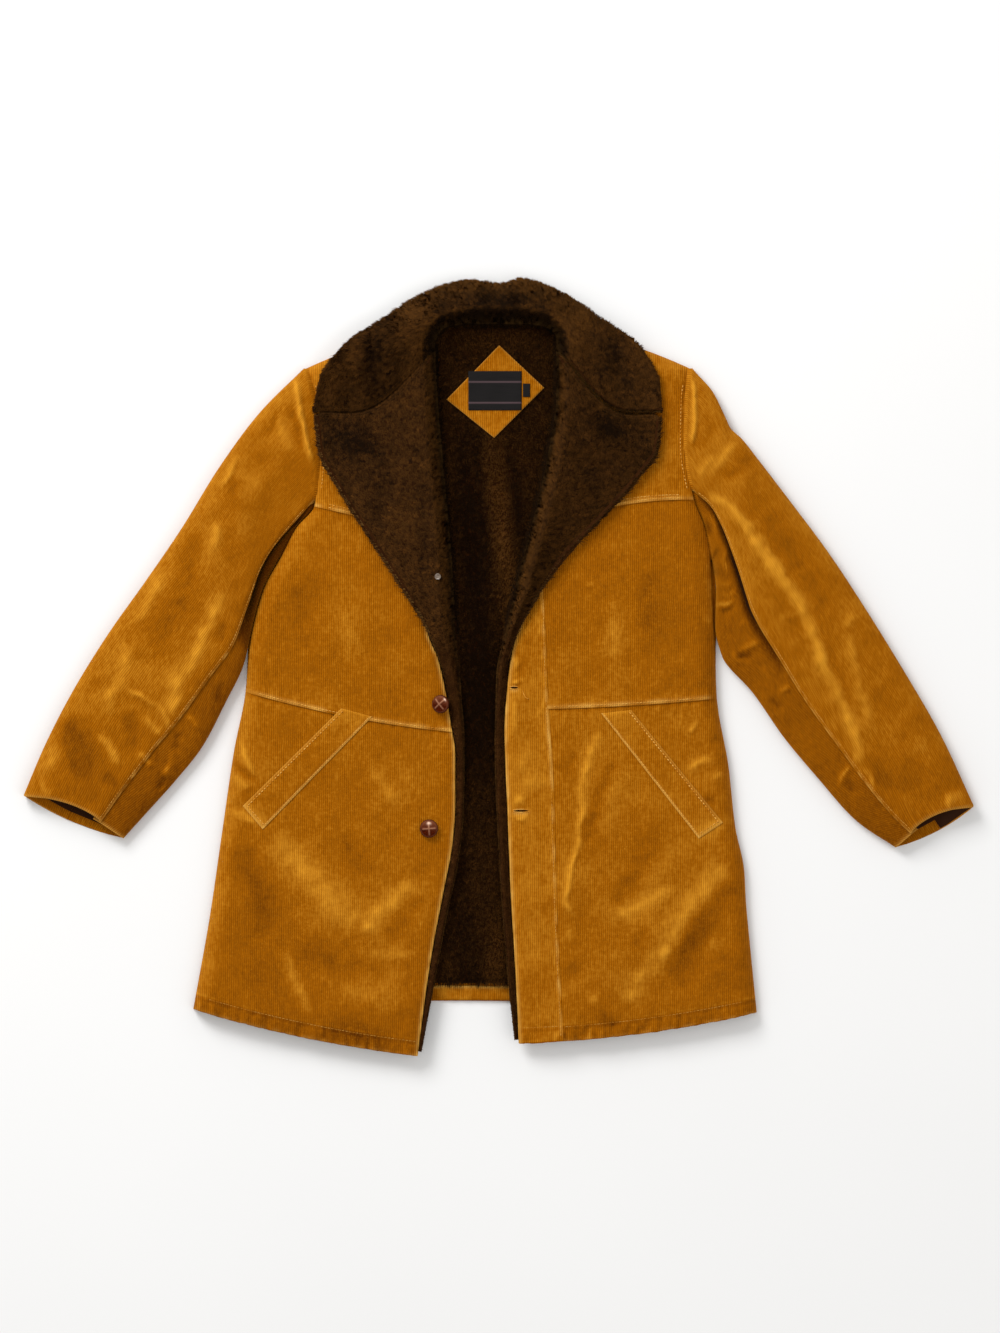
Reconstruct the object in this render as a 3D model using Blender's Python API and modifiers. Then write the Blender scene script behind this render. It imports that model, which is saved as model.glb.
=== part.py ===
"""Rancher jacket in ribbed corduroy with a pile collar, lapels and lining, laid out flat on its back.

Metres, +Z up. +X is the wearer's left, +Y runs from hem to collar, and the floor is Z = 0.
The tables are in millimetres, read from the top of the laid-out jacket; build() centres them.
Each piece is a grid of points on a worked-out surface, made into a wall by Solidify.
"""

import math
from collections import namedtuple

import bmesh
import bpy
from mathutils import Vector

MM = 0.001

# Walls, in millimetres
CLOTH = 2.0  # corduroy alone
LINED_FRONT = 6.0  # corduroy with the pressed pile behind it
LINED_SLEEVE = 2.4  # corduroy with the smooth sleeve lining behind it
UNDER_SLEEVE = 1.6
PILE = 7.5  # backing and nap
SEAM_GAP = 0.3
PANEL_GAP = 0.6  # between the lined panels of a front
WELT_LIFT = 0.9
RIM_SHARE = 0.3  # share of a lined wall left where it is pressed into a seam

# The flat body
CROWN = 20.0  # top of the fronts
SEAM_Z = 3.4  # where the fronts come down to the back at the sides
SHOULDER_Z = 4.6  # and along the shoulders
SIDE_ROUND = 22.0
RIM_ANGLES = (0, 25, 52, 90)
SHOULDER_ROUND = 26.0
SHOULDER_MIDDLE = (-2.4, 357.0)
SHOULDER_HALF_SPAN = 231.0
NECK_RISE = 54.0  # the back neck above the shoulder tips
EDGE_ROLL = 16.0  # width of the soft roll along a front edge
EDGE_DROP = 2.5
FOLD_FADE = 45.0  # folds die away towards the side seams
HEM_TURN = 18.0
BACK_HEM_BOW = 12.0
LINING_INSET = 17.0
LINING_NARROWS = (0.86, 0.94)  # the lining narrows to the neck over these shares of the back's length
LINING_NECK_INSET = 150.0
LINING_END = 0.998  # share of the back's length at which the lining goes under the collar
LINING_TOP = CLOTH + SEAM_GAP + PILE
LAYOUT_CENTRE = (-1.5, -0.2)  # middle of the laid-out jacket in the tables

# Small pieces
BUTTON_RADIUS = 11.0
BUTTON_HALF_HEIGHT = 5.0
STAY_BUTTON_RADIUS = 3.8
STAY_BUTTON_DEPTH = 1.8
LABEL_WALL = 1.2

# Side of the body, from hem to shoulder tip: place of the edge and height of the seam there
SideRow = namedtuple("SideRow", "y x seam_z")
RIGHT_SIDE = (
    SideRow(-411, -368, SEAM_Z),
    SideRow(-299, -348, SEAM_Z),
    SideRow(-203, -334, SEAM_Z),
    SideRow(-101, -319, SEAM_Z),
    SideRow(-29, -305, SEAM_Z),
    SideRow(19, -301, SEAM_Z),
    SideRow(60, -293, SEAM_Z),
    SideRow(96, -282, SEAM_Z),
    SideRow(130, -263, 7.0),
    SideRow(166, -244, 12.0),
    SideRow(193, -222, 16.0),
    SideRow(271, -215, 17.0),
    SideRow(319, -221, 14.0),
    SideRow(357.2, -233, SHOULDER_Z),
)
LEFT_SIDE = (
    SideRow(-415, 308, SEAM_Z),
    SideRow(-335, 300, SEAM_Z),
    SideRow(-281, 295, SEAM_Z),
    SideRow(-245, 293, SEAM_Z),
    SideRow(-191, 282, SEAM_Z),
    SideRow(-119, 274, SEAM_Z),
    SideRow(-37, 260, SEAM_Z),
    SideRow(31, 257, SEAM_Z),
    SideRow(91, 254, SEAM_Z),
    SideRow(127, 252, 7.0),
    SideRow(166, 245, 12.0),
    SideRow(201, 232, 16.0),
    SideRow(265, 221, 17.0),
    SideRow(319, 222, 14.0),
    SideRow(357.2, 228, SHOULDER_Z),
)

# Free edge of each front; above the break it runs hidden under the lapel
EdgeRow = namedtuple("EdgeRow", "y x")
RIGHT_EDGE = (
    EdgeRow(-467, -98),
    EdgeRow(-389, -88),
    EdgeRow(-332, -79),
    EdgeRow(-269, -67),
    EdgeRow(-209, -56),
    EdgeRow(-161, -53),
    EdgeRow(-107, -53),
    EdgeRow(-65, -59),
    EdgeRow(-29, -65),
    EdgeRow(7, -75),
    EdgeRow(44, -94),
    EdgeRow(96, -78),
    EdgeRow(175, -77),
    EdgeRow(247, -84),
    EdgeRow(319, -92),
    EdgeRow(403, -94),
)
LEFT_EDGE = (
    EdgeRow(-452, 22),
    EdgeRow(-366, 18),
    EdgeRow(-265, 12),
    EdgeRow(-215, 10),
    EdgeRow(-163, 8),
    EdgeRow(-120, 6),
    EdgeRow(-77, 5),
    EdgeRow(-29, 9),
    EdgeRow(12, 19),
    EdgeRow(46, 33),
    EdgeRow(96, 43),
    EdgeRow(175, 59),
    EdgeRow(247, 75),
    EdgeRow(319, 84),
    EdgeRow(403, 84),
)

# Seam of the buttonhole placket on the left front
PLACKET_SEAM = (
    EdgeRow(-452, 76),
    EdgeRow(-281, 68),
    EdgeRow(-137, 64),
    EdgeRow(-47, 58),
    EdgeRow(90, 52),
)
PLACKET_STEPS = (1.0, 0.75, 0.5, 0.28, 0.13, 0.0)
PLACKET_TOP = 1.64  # the placket runs up under the lapel, counted in the front's seams

# Seams across each front: hem, waist and yoke, from the side to the free edge; the shoulder follows
FrontRow = namedtuple("FrontRow", "side_y edge_y bow")
RIGHT_ROWS = (
    FrontRow(-411, -467, -6),
    FrontRow(-29, -77, -6),
    FrontRow(193, 160, 0),
)
LEFT_ROWS = (
    FrontRow(-415, -452, -7),
    FrontRow(-37, -50, -3),
    FrontRow(201, 170, 9),
)
HEM, WAIST, YOKE, SHOULDER = range(4)

# Sections of what folds over: the inner line it rises from, the crest, and the outer edge it falls to.
# start is 0 where it rises upright from the lining, and more where only its top shows.
# hang is 0 where the cloth lies flat past the crest, and 1 where it rounds over and hangs.
STAND_Z = LINING_TOP + 1.2
FallRow = namedtuple("FallRow", "roll_x roll_y edge_x edge_y base_z start crest_z edge_z hang wall")
COLLAR_ROWS = (
    FallRow(-77, 379, -224, 305, STAND_Z, 0, 45, 29.5, 0, PILE),
    FallRow(-76, 390, -216, 346, STAND_Z, 0, 46, 28.5, 0.15, PILE),
    FallRow(-72, 399, -186, 388, STAND_Z, 0, 47, 25.0, 0.5, PILE),
    FallRow(-64, 406, -137, 422, STAND_Z, 0, 48, 19.0, 0.85, PILE),
    FallRow(-48, 409, -84, 453, STAND_Z, 0, 49, 14.0, 1, PILE),
    FallRow(-26, 410, -38, 465, STAND_Z, 0, 50, 12.0, 1, PILE),
    FallRow(-4, 410, 0, 461, STAND_Z, 0, 50, 12.0, 1, PILE),
    FallRow(19, 410, 26, 467, STAND_Z, 0, 50, 12.0, 1, PILE),
    FallRow(40, 409, 67, 454, STAND_Z, 0, 49, 14.0, 1, PILE),
    FallRow(55, 406, 120, 421, STAND_Z, 0, 48, 19.0, 0.85, PILE),
    FallRow(63, 400, 169, 384, STAND_Z, 0, 47, 25.0, 0.5, PILE),
    FallRow(67, 391, 192, 338, STAND_Z, 0, 46, 28.5, 0.15, PILE),
    FallRow(67, 380, 194, 303, STAND_Z, 0, 45, 29.5, 0, PILE),
)
RIGHT_FACING_ROWS = (
    FallRow(-77, 374, -223, 299, STAND_Z, 0, 45, 29.5, 0, PILE),
    FallRow(-74, 319, -218, 257, STAND_Z, 0, 44, 29.5, 0, PILE),
    FallRow(-68, 247, -194, 211, STAND_Z, 0, 43, 29.5, 0, PILE),
    FallRow(-61, 175, -161, 158, STAND_Z, 0, 42, 29.5, 0, PILE),
    FallRow(-56, 109, -125, 103, STAND_Z, 0, 40, 29.5, 0, PILE),
    FallRow(-53, 49, -91, 48, 12, 5, 36, 28.5, 0.3, 5),
    FallRow(-49, 1, -71, 2, 14.5, 20, 29, 25, 0.6, 2.2),
    FallRow(-46, -41, -61, -39, 17, 40, 24, 20.5, 1, 1.7),
    FallRow(-43, -83, -54, -82, 18.8, 60, 22, 19, 1, 1.6),
    FallRow(-43, -131, -51, -131, 19.3, 60, 21, 18.5, 1, 1.6),
    FallRow(-44, -179, -52, -179, 19.3, 60, 21, 18.5, 1, 1.6),
    FallRow(-50, -233, -59, -232, 19.3, 60, 21, 18.5, 1, 1.6),
    FallRow(-64, -299, -71, -298, 19.3, 60, 21, 18.5, 1, 1.5),
    FallRow(-76, -365, -83, -364, 19.3, 60, 21, 18.5, 1, 1.2),
    FallRow(-88, -437, -93, -436, 19.3, 60, 21, 18.5, 1, 0.9),
    FallRow(-91.5, -461, -96.5, -461, 19.3, 60, 21, 18.5, 1, 0.9),
)
LEFT_FACING_ROWS = (
    FallRow(67, 373.5, 194, 295.5, STAND_Z, 0, 45, 29.5, 0, PILE),
    FallRow(67, 325, 190, 259, STAND_Z, 0, 44, 29.5, 0, PILE),
    FallRow(58, 259, 163, 221, STAND_Z, 0, 43, 29.5, 0, PILE),
    FallRow(42, 187, 127, 180, STAND_Z, 0, 42, 29.5, 0, PILE),
    FallRow(26, 127, 90, 131, STAND_Z, 0, 40, 29.5, 0, PILE),
    FallRow(13, 73, 54, 82, 12, 5, 36, 28.5, 0.3, 5),
    FallRow(4, 31, 26, 39, 14.5, 20, 29, 25, 0.6, 2.2),
    FallRow(-4, -7, 9, 1, 17, 40, 24, 20.5, 1, 1.7),
    FallRow(-5, -47, 4, -46, 18.8, 60, 22, 19, 1, 1.6),
    FallRow(-6, -95, 3, -95, 19.3, 60, 21, 18.5, 1, 1.6),
    FallRow(-5, -149, 5, -149, 19.3, 60, 21, 18.5, 1, 1.6),
    FallRow(-2, -203, 7, -203, 19.3, 60, 21, 18.5, 1, 1.6),
    FallRow(1, -263, 9.5, -263, 19.3, 60, 21, 18.5, 1, 1.5),
    FallRow(6, -329, 13.5, -329, 19.3, 60, 21, 18.5, 1, 1.5),
    FallRow(10.5, -395, 17, -395, 19.3, 60, 21, 18.5, 1, 1.5),
    FallRow(14, -446, 20, -446, 19.3, 60, 21, 18.5, 1, 1.5),
)
GORGE_BOW = 27.0  # how far the collar's end at the lapel bows down from a straight line
LAPEL_BOW = 29.5  # and the top of the lapel, which stays clear of it
GORGE_ROWS = 2.0  # sections over which that bow dies away
GORGE_POWER = 1.5  # above 1, the bow leaves the roll line and the outer edge gently
CREST_REACH = 18.0  # plan distance from the inner line to the crest of a wide lapel
CREST_SHARE = 0.45  # and the most it takes of a narrow one
LYING_POWER = 0.62
HANGING_POWER = 1.9
STAND_STEPS = (0, 0.17, 0.44, 0.72, 1.0)
FALL_STEPS = (0.1, 0.23, 0.37, 0.52, 0.68, 0.84, 1.0)

# Rings of each sleeve from armhole to cuff: inner and outer fold, top height, height lost at the
# front seam, and the share of the width at which that seam lies
RingRow = namedtuple("RingRow", "in_x in_y out_x out_y crown step seam")
RIGHT_RINGS = (
    RingRow(-263, 130, -233, 357.2, 19, 5.5, 0.30),
    RingRow(-283, 91, -286, 304, 23, 8.0, 0.22),
    RingRow(-294, 53, -334, 239, 27, 8.0, 0.13),
    RingRow(-304, 5, -379, 166, 27, 6.0, 0.15),
    RingRow(-327, -44, -422, 103, 26, 5.2, 0.20),
    RingRow(-355, -97, -468, 38, 25, 5.2, 0.24),
    RingRow(-386, -136, -510, -30, 24, 5.2, 0.26),
    RingRow(-420, -174, -542, -92, 24, 5.2, 0.26),
    RingRow(-449, -206, -569, -155, 23, 5.2, 0.25),
)
LEFT_RINGS = (
    RingRow(252, 127, 228, 357.2, 19, 6.0, 0.36),
    RingRow(256.5, 91, 272, 294, 24, 9.0, 0.45),
    RingRow(255.6, 49, 308, 247, 28, 12.0, 0.43),
    RingRow(264, 12, 350, 192, 28, 11.0, 0.36),
    RingRow(301, -32, 391, 137, 27, 8.0, 0.29),
    RingRow(338, -85, 434, 72, 26, 6.0, 0.27),
    RingRow(378, -133, 478, 1, 25, 5.0, 0.26),
    RingRow(426, -186, 526, -82, 24, 5.2, 0.25),
    RingRow(472, -217, 566, -168, 23, 5.2, 0.22),
)
ARMHOLE_GAP = 2.4
ARMHOLE_FADE = 3.0  # rings over which the sleeve's end straightens out
TUBE_WIDTH_POWER = 0.7
TUBE_HEIGHT_POWER = 0.6
TUBE_BELLY = 0.35  # share of the height at which the folds stand out furthest
FLOOR_ANGLE = math.asin((TUBE_BELLY / (1 - TUBE_BELLY)) ** (1 / TUBE_HEIGHT_POWER))
HIND_SEAM = 0.55  # share of the width at which the seam underneath lies
UNDERLAP = 10.0  # the under sleeve's reach behind the lip of the top sleeve
LIP = 12.0
LIP_GAP = 1.3
CUFF_PULL = 13.0  # the top edge of the cuff drawn back
CUFF_PUSH = 6.0  # the lower edge standing out
CUFF_RINGS = 1.2
RINGS_PER_SLEEVE = 15

Sleeve = namedtuple("Sleeve", "side rings outward")
SLEEVES = {
    "right": Sleeve(RIGHT_SIDE, RIGHT_RINGS, -1),
    "left": Sleeve(LEFT_SIDE, LEFT_RINGS, 1),
}

# Largest folds, seen from above: middle, half length, half width, direction in degrees, height
Fold = namedtuple("Fold", "x y length width angle height")
FOLDS = (
    Fold(-190, -293, 75, 28, -41, 2.6),
    Fold(-246, -335, 70, 24, -52, -2.2),
    Fold(-150, -400, 60, 26, -15, 2.0),
    Fold(168, -335, 90, 30, 38, 2.6),
    Fold(232, -352, 60, 22, 44, -2.2),
    Fold(88, -257, 60, 16, 88, 2.2),
    Fold(-180, 60, 70, 26, 62, 1.6),
    Fold(180, 50, 70, 26, 97, 1.6),
    Fold(318, 79, 130, 14, -59, 3.0),
    Fold(372, 30, 70, 15, -56, -2.2),
    Fold(280, 240, 45, 14, -52, 2.4),
    Fold(-400, -60, 70, 14, -57, 2.6),
    Fold(-445, -105, 60, 12, -70, -2.4),
    Fold(-335, 130, 70, 15, -75, 2.2),
    Fold(-285, 215, 50, 14, 62, 2.2),
)
LINING_FOLDS = (
    Fold(-12, 190, 70, 12, 84, 2.0),
    Fold(-22, -60, 110, 16, 88, 1.6),
    Fold(-16, -290, 70, 18, 100, 1.4),
)

# Slanted pocket welts on the skirts: corners as (x, y), upper pair then lower pair
WELTS = {
    "right": (((-190, -50), (-153, -60)), ((-308, -167), (-284, -195))),
    "left": (((157, -52), (121, -56)), ((267, -187), (238, -206))),
}
# Diamond of corduroy in the back neck, with a plain label and a tab on it
NECK_PATCH = (((-64, 320), (-1, 385)), ((-7, 274), (53, 334)))
LABEL = (((-38, 307), (26, 307)), ((-38, 354), (26, 354)))
SIZE_TAB = (((27.5, 323), (36, 323)), ((27.5, 339), (36, 339)))
BUTTONS = ((-71, -45), (-85, -194))
STAY_BUTTON_ROW = 4.0  # on the right lapel, counted in its sections
STAY_BUTTON_REACH = 0.0  # share of the way from crest to edge


def smooth(keys, values, key):
    """A curve through a table's points with no overshoot, level past both ends."""
    if key <= keys[0]:
        return values[0]
    if key >= keys[-1]:
        return values[-1]
    steps = [b - a for a, b in zip(keys, keys[1:])]
    slopes = [(b - a) / step for a, b, step in zip(values, values[1:], steps)]

    def tangent(i):
        if i in (0, len(keys) - 1):
            return slopes[min(i, len(slopes) - 1)]
        before, after = slopes[i - 1], slopes[i]
        return 0.0 if before * after <= 0 else 2 * before * after / (before + after)

    i = max(n for n in range(len(steps)) if keys[n] <= key)
    t = (key - keys[i]) / steps[i]
    rise = values[i + 1] - values[i]
    start, end = tangent(i) * steps[i], tangent(i + 1) * steps[i]
    return values[i] + t * (start + t * (3 * rise - 2 * start - end + t * (start + end - 2 * rise)))


def column(rows, name, key, by="y"):
    """The value of a named column of a table at a place along another column."""
    return smooth([getattr(row, by) for row in rows], [getattr(row, name) for row in rows], key)


def section(rows, position):
    """A row of the table's own kind at a place between its rows, counted from 0."""
    places = range(len(rows))
    return type(rows[0])(*(smooth(places, values, position) for values in zip(*rows)))


def mix(a, b, share):
    return a + (b - a) * share


def rounded(distance, radius):
    """Height of a quarter-round edge: 0 at the edge, 1 from the radius inwards."""
    short = max(0.0, 1.0 - max(distance, 0.0) / radius)
    return math.sqrt(1.0 - short * short)


def signed_power(value, power):
    return math.copysign(abs(value) ** power, value)


def fold_height(folds, x, y):
    """Soft ridges and troughs, added up."""
    total = 0.0
    for fold in folds:
        turn = math.radians(fold.angle)
        along = (x - fold.x) * math.cos(turn) + (y - fold.y) * math.sin(turn)
        across = (y - fold.y) * math.cos(turn) - (x - fold.x) * math.sin(turn)
        total += fold.height * math.exp(-((along / fold.length) ** 2) - (across / fold.width) ** 2)
    return total


def shoulder_y(x):
    """The line of both shoulders and the back neck."""
    middle_x, tip_y = SHOULDER_MIDDLE
    return tip_y + NECK_RISE * (1 - ((x - middle_x) / SHOULDER_HALF_SPAN) ** 2)


def shoulder_row(side, edge):
    """The shoulder seam of a front, on the line of the shoulders."""
    side_x, edge_x = side[-1].x, edge[-1].x
    bow = NECK_RISE * ((edge_x - side_x) / 2 / SHOULDER_HALF_SPAN) ** 2
    return FrontRow(shoulder_y(side_x), shoulder_y(edge_x), bow)


Front = namedtuple("Front", "side edge rows")
FRONTS = {
    "right": Front(RIGHT_SIDE, RIGHT_EDGE, (*RIGHT_ROWS, shoulder_row(RIGHT_SIDE, RIGHT_EDGE))),
    "left": Front(LEFT_SIDE, LEFT_EDGE, (*LEFT_ROWS, shoulder_row(LEFT_SIDE, LEFT_EDGE))),
}


def front_height(front, x, y):
    """Top of a front: round at the side and shoulder, soft at the free edge, with its folds."""
    inside = abs(x - column(front.side, "x", y))
    seam_z = column(front.side, "seam_z", y)
    z = mix(seam_z, CROWN, rounded(inside, SIDE_ROUND))
    from_edge = abs(x - column(front.edge, "x", y))
    z -= EDGE_DROP * max(0.0, 1 - from_edge / EDGE_ROLL) ** 2
    z = mix(SHOULDER_Z, z, rounded(shoulder_y(x) - y, SHOULDER_ROUND))
    return z + fold_height(FOLDS, x, y) * rounded(inside, FOLD_FADE)


def front_point(front, across, along):
    """A point of a front: across in millimetres from its side edge, along in its seams from the hem."""
    row = section_linear(front.rows, along)
    side_x, edge_x = column(front.side, "x", row.side_y), column(front.edge, "x", row.edge_y)
    width = abs(edge_x - side_x)
    share = across / width
    x = mix(side_x, edge_x, share)
    y = mix(row.side_y, row.edge_y, share) + row.bow * 4 * share * (1 - share)
    return x, y, front_height(front, x, y)


def section_linear(rows, position):
    """As section(), with straight steps between the rows."""
    i = min(int(position), len(rows) - 2)
    return type(rows[0])(*(mix(a, b, position - i) for a, b in zip(rows[i], rows[i + 1])))


def front_width(front, along):
    row = section_linear(front.rows, along)
    return abs(column(front.edge, "x", row.edge_y) - column(front.side, "x", row.side_y))


def placket_width(front, along):
    y = section_linear(front.rows, along).edge_y
    return abs(column(PLACKET_SEAM, "x", y) - column(front.edge, "x", y))


def steps(start, end, count):
    return [mix(start, end, i / count) for i in range(count + 1)]


def round_steps(radius, angles):
    """Distances from an edge that sample its quarter round evenly."""
    return [radius * (1 - math.cos(math.radians(angle))) for angle in angles]


def make_material(name, colour, roughness):
    material = bpy.data.materials.new(name)
    material.use_nodes = True
    shader = material.node_tree.nodes["Principled BSDF"]
    shader.inputs["Base Color"].default_value = (*colour, 1.0)
    shader.inputs["Roughness"].default_value = roughness
    shader.inputs["Metallic"].default_value = 0.0
    return material


class Maker:
    """Puts each piece in the jacket's collection, under one empty, with its material."""

    def __init__(self):
        self.collection = bpy.data.collections.new("rancher_jacket")
        bpy.context.scene.collection.children.link(self.collection)
        self.root = bpy.data.objects.new("jacket", None)
        self.root.location = (-LAYOUT_CENTRE[0] * MM, -LAYOUT_CENTRE[1] * MM, 0)
        self.collection.objects.link(self.root)
        self.materials = {
            "corduroy": make_material("corduroy", (0.38, 0.13, 0.006), 0.85),
            "pile": make_material("pile", (0.03, 0.013, 0.005), 0.95),
            "label": make_material("label", (0.02, 0.018, 0.018), 0.6),
            "leather": make_material("leather", (0.09, 0.03, 0.012), 0.4),
            "horn": make_material("horn", (0.3, 0.27, 0.24), 0.35),
        }

    def add(self, name, bm, material):
        mesh = bpy.data.meshes.new(name)
        bm.to_mesh(mesh)
        bm.free()
        mesh.materials.append(self.materials[material])
        mesh.shade_smooth()
        mesh.set_sharp_from_angle(angle=math.radians(50))
        piece = bpy.data.objects.new(name, mesh)
        piece.parent = self.root
        self.collection.objects.link(piece)
        return piece

    def wall(self, name, point, across, along, thickness, material, outside=1, share=None):
        """A wall behind the surface point(across, along). outside is -1 where the order of the
        columns turns the surface over; share(across, along) thins the wall where it is given."""
        bm = bmesh.new()
        last_column, last_row = len(across) - 1, len(along) - 1
        bmesh.ops.create_grid(bm, x_segments=last_column, y_segments=last_row, size=0.5)
        weights = {}
        for vertex in bm.verts:
            u = across[round((vertex.co.x + 0.5) * last_column)]
            v = along[round((vertex.co.y + 0.5) * last_row)]
            vertex.co = Vector(point(u, v)) * MM
            if share:
                weights[vertex.index] = share(u, v)
        if outside < 0:
            bmesh.ops.reverse_faces(bm, faces=bm.faces)
        piece = self.add(name, bm, material)
        solidify = piece.modifiers.new("wall", "SOLIDIFY")
        solidify.thickness = thickness * MM
        solidify.offset = -1
        solidify.use_even_offset = True
        if share:
            group = piece.vertex_groups.new(name="wall")
            for index, weight in weights.items():
                group.add([index], weight, "REPLACE")
            solidify.vertex_group = "wall"
        return piece


def make_back(maker):
    """The back lies flat on the floor, with its hem turned up inside and its pile lining on it."""

    def plan(along):
        """Both ends of a line across the back."""
        right_y = mix(RIGHT_SIDE[0].y, RIGHT_SIDE[-1].y, along)
        left_y = mix(LEFT_SIDE[0].y, LEFT_SIDE[-1].y, along)
        return (column(RIGHT_SIDE, "x", right_y), right_y), (column(LEFT_SIDE, "x", left_y), left_y)

    def back_point(inset, z, share, along):
        right, left = plan(along)
        x = mix(right[0] + inset, left[0] - inset, share)
        across = (x - right[0]) / (left[0] - right[0])
        bow = mix(BACK_HEM_BOW, NECK_RISE, along**2) * 4 * across * (1 - across)
        return x, mix(right[1], left[1], across) + bow, z

    length = RIGHT_SIDE[-1].y - RIGHT_SIDE[0].y
    turn = HEM_TURN / length
    maker.wall(
        "back",
        lambda share, along: back_point(0, CLOTH, share, along),
        steps(0, 1, 10),
        steps(0, 0.6, 8) + steps(0.64, 1, 16),
        CLOTH,
        "corduroy",
    )
    maker.wall(
        "back_hem_turn",
        lambda share, along: back_point(LINING_INSET, 2 * CLOTH + SEAM_GAP, share, along),
        steps(0, 1, 12),
        steps(turn * 0.05, turn, 2),
        CLOTH,
        "corduroy",
    )

    def lining_point(share, along):
        inset = smooth(LINING_NARROWS, (LINING_INSET, LINING_NECK_INSET), along)
        x, y, z = back_point(inset, LINING_TOP, share, along)
        return x, y, z + fold_height(LINING_FOLDS, x, y)

    maker.wall(
        "back_lining",
        lining_point,
        steps(0, 0.38, 3) + steps(0.42, 0.62, 8) + steps(0.68, 1, 3),
        steps(turn + 0.004, 0.83, 12) + steps(0.87, LINING_END, 5),
        PILE,
        "pile",
    )


def make_front(maker, side):
    """Skirt, chest and yoke of one front; the left front has a buttonhole placket down its edge."""
    front = FRONTS[side]
    has_placket = side == "left"
    outside = 1 if side == "right" else -1
    rim = round_steps(SIDE_ROUND, RIM_ANGLES)
    shoulder_rows = [SHOULDER - d / 180 for d in reversed(round_steps(SHOULDER_ROUND, RIM_ANGLES))]

    def columns(count):
        """Places from the side edge to the free edge or the placket seam."""
        run = [("run", share) for share in steps(0, 1, count)[1:]]
        return [("rim", d) for d in rim] + run + [("edge", EDGE_ROLL / 2), ("edge", 0.0)]

    def point(place, along):
        kind, value = place
        width = front_width(front, along)
        beside_placket = has_placket and along < PLACKET_TOP
        inner = width - (placket_width(front, along) + PANEL_GAP if beside_placket else 0.0)
        if kind == "rim":
            across = value
        else:
            across = inner - value if kind == "edge" else mix(SIDE_ROUND, inner - EDGE_ROLL, value)
        return front_point(front, across, along)

    def wall_share(place, along):
        x, y, z = point(place, along)
        inside = abs(x - column(front.side, "x", y))
        below = shoulder_y(x) - y
        return mix(RIM_SHARE, 1, min(rounded(inside, SIDE_ROUND), rounded(below, SHOULDER_ROUND)))

    half_gap = {WAIST: PANEL_GAP / 2 / 300, YOKE: PANEL_GAP / 2 / 180}
    panels = {
        "skirt": (steps(HEM, WAIST - half_gap[WAIST], 13), 10),
        "chest": (steps(WAIST + half_gap[WAIST], YOKE - half_gap[YOKE], 11), 8),
        "yoke": (steps(YOKE + half_gap[YOKE], shoulder_rows[0], 8) + shoulder_rows[1:], 5),
    }
    for panel, (along, count) in panels.items():
        maker.wall(
            f"{side}_front_{panel}",
            point,
            columns(count),
            along,
            LINED_FRONT,
            "corduroy",
            outside,
            wall_share,
        )
    if has_placket:
        beside = panels["skirt"][0] + panels["chest"][0][1:]
        placket_rows = [along for along in beside if along < PLACKET_TOP]
        maker.wall(
            f"{side}_front_placket",
            lambda share, along: front_point(
                front, front_width(front, along) - share * placket_width(front, along), along
            ),
            PLACKET_STEPS,
            placket_rows,
            LINED_FRONT,
            "corduroy",
            outside,
        )


def gorge_bow(rows, position, share):
    """How far the sections next to the gorge, the seam between collar and lapel, bow down with it."""
    if rows is COLLAR_ROWS:
        bow, from_gorge = GORGE_BOW, min(position, len(rows) - 1 - position)
    else:
        bow, from_gorge = LAPEL_BOW, position
    fade = max(0.0, 1 - from_gorge / GORGE_ROWS) ** 2
    return bow * fade * max(0.0, math.sin(math.pi * share)) ** GORGE_POWER


def fall_point(rows, place, position):
    """A point of what folds over: place is a share of the stand, then of the fall."""
    row = section(rows, position)
    reach = math.hypot(row.edge_x - row.roll_x, row.edge_y - row.roll_y)
    crest = min(CREST_REACH, CREST_SHARE * reach)
    kind, value = place
    if kind == "stand":
        start, turn = math.radians(row.start), math.radians(mix(row.start, 90, value))
        out = crest * (1 - math.cos(turn) / math.cos(start))
        z = mix(row.base_z, row.crest_z, (math.sin(turn) - math.sin(start)) / (1 - math.sin(start)))
    else:
        lying = 0.5 + 0.5 * math.cos(math.pi * value**LYING_POWER)
        hanging = 1 - value**HANGING_POWER
        out, z = mix(crest, reach, value), mix(row.edge_z, row.crest_z, mix(lying, hanging, row.hang))
    share = out / reach
    y = mix(row.roll_y, row.edge_y, share) - gorge_bow(rows, position, share)
    return mix(row.roll_x, row.edge_x, share), y, z


def make_folded(maker, name, rows, count, outside):
    places = [("stand", share) for share in STAND_STEPS] + [("fall", share) for share in FALL_STEPS]
    maker.wall(
        name,
        lambda place, position: fall_point(rows, place, position),
        places,
        steps(0, len(rows) - 1, count),
        PILE,
        "pile",
        outside,
        lambda place, position: section(rows, position).wall / PILE,
    )


def tube_share(angle):
    """Share of a sleeve's width at an angle that runs from the inner fold over the top."""
    return 0.5 - 0.5 * signed_power(math.cos(angle), TUBE_WIDTH_POWER)


def tube_angle(share):
    return math.acos(signed_power(1 - 2 * share, 1 / TUBE_WIDTH_POWER))


def tube_height(height, angle):
    level = signed_power(math.sin(angle), TUBE_HEIGHT_POWER)
    return height * max(0.0, TUBE_BELLY + (1 - TUBE_BELLY) * level)


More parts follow.
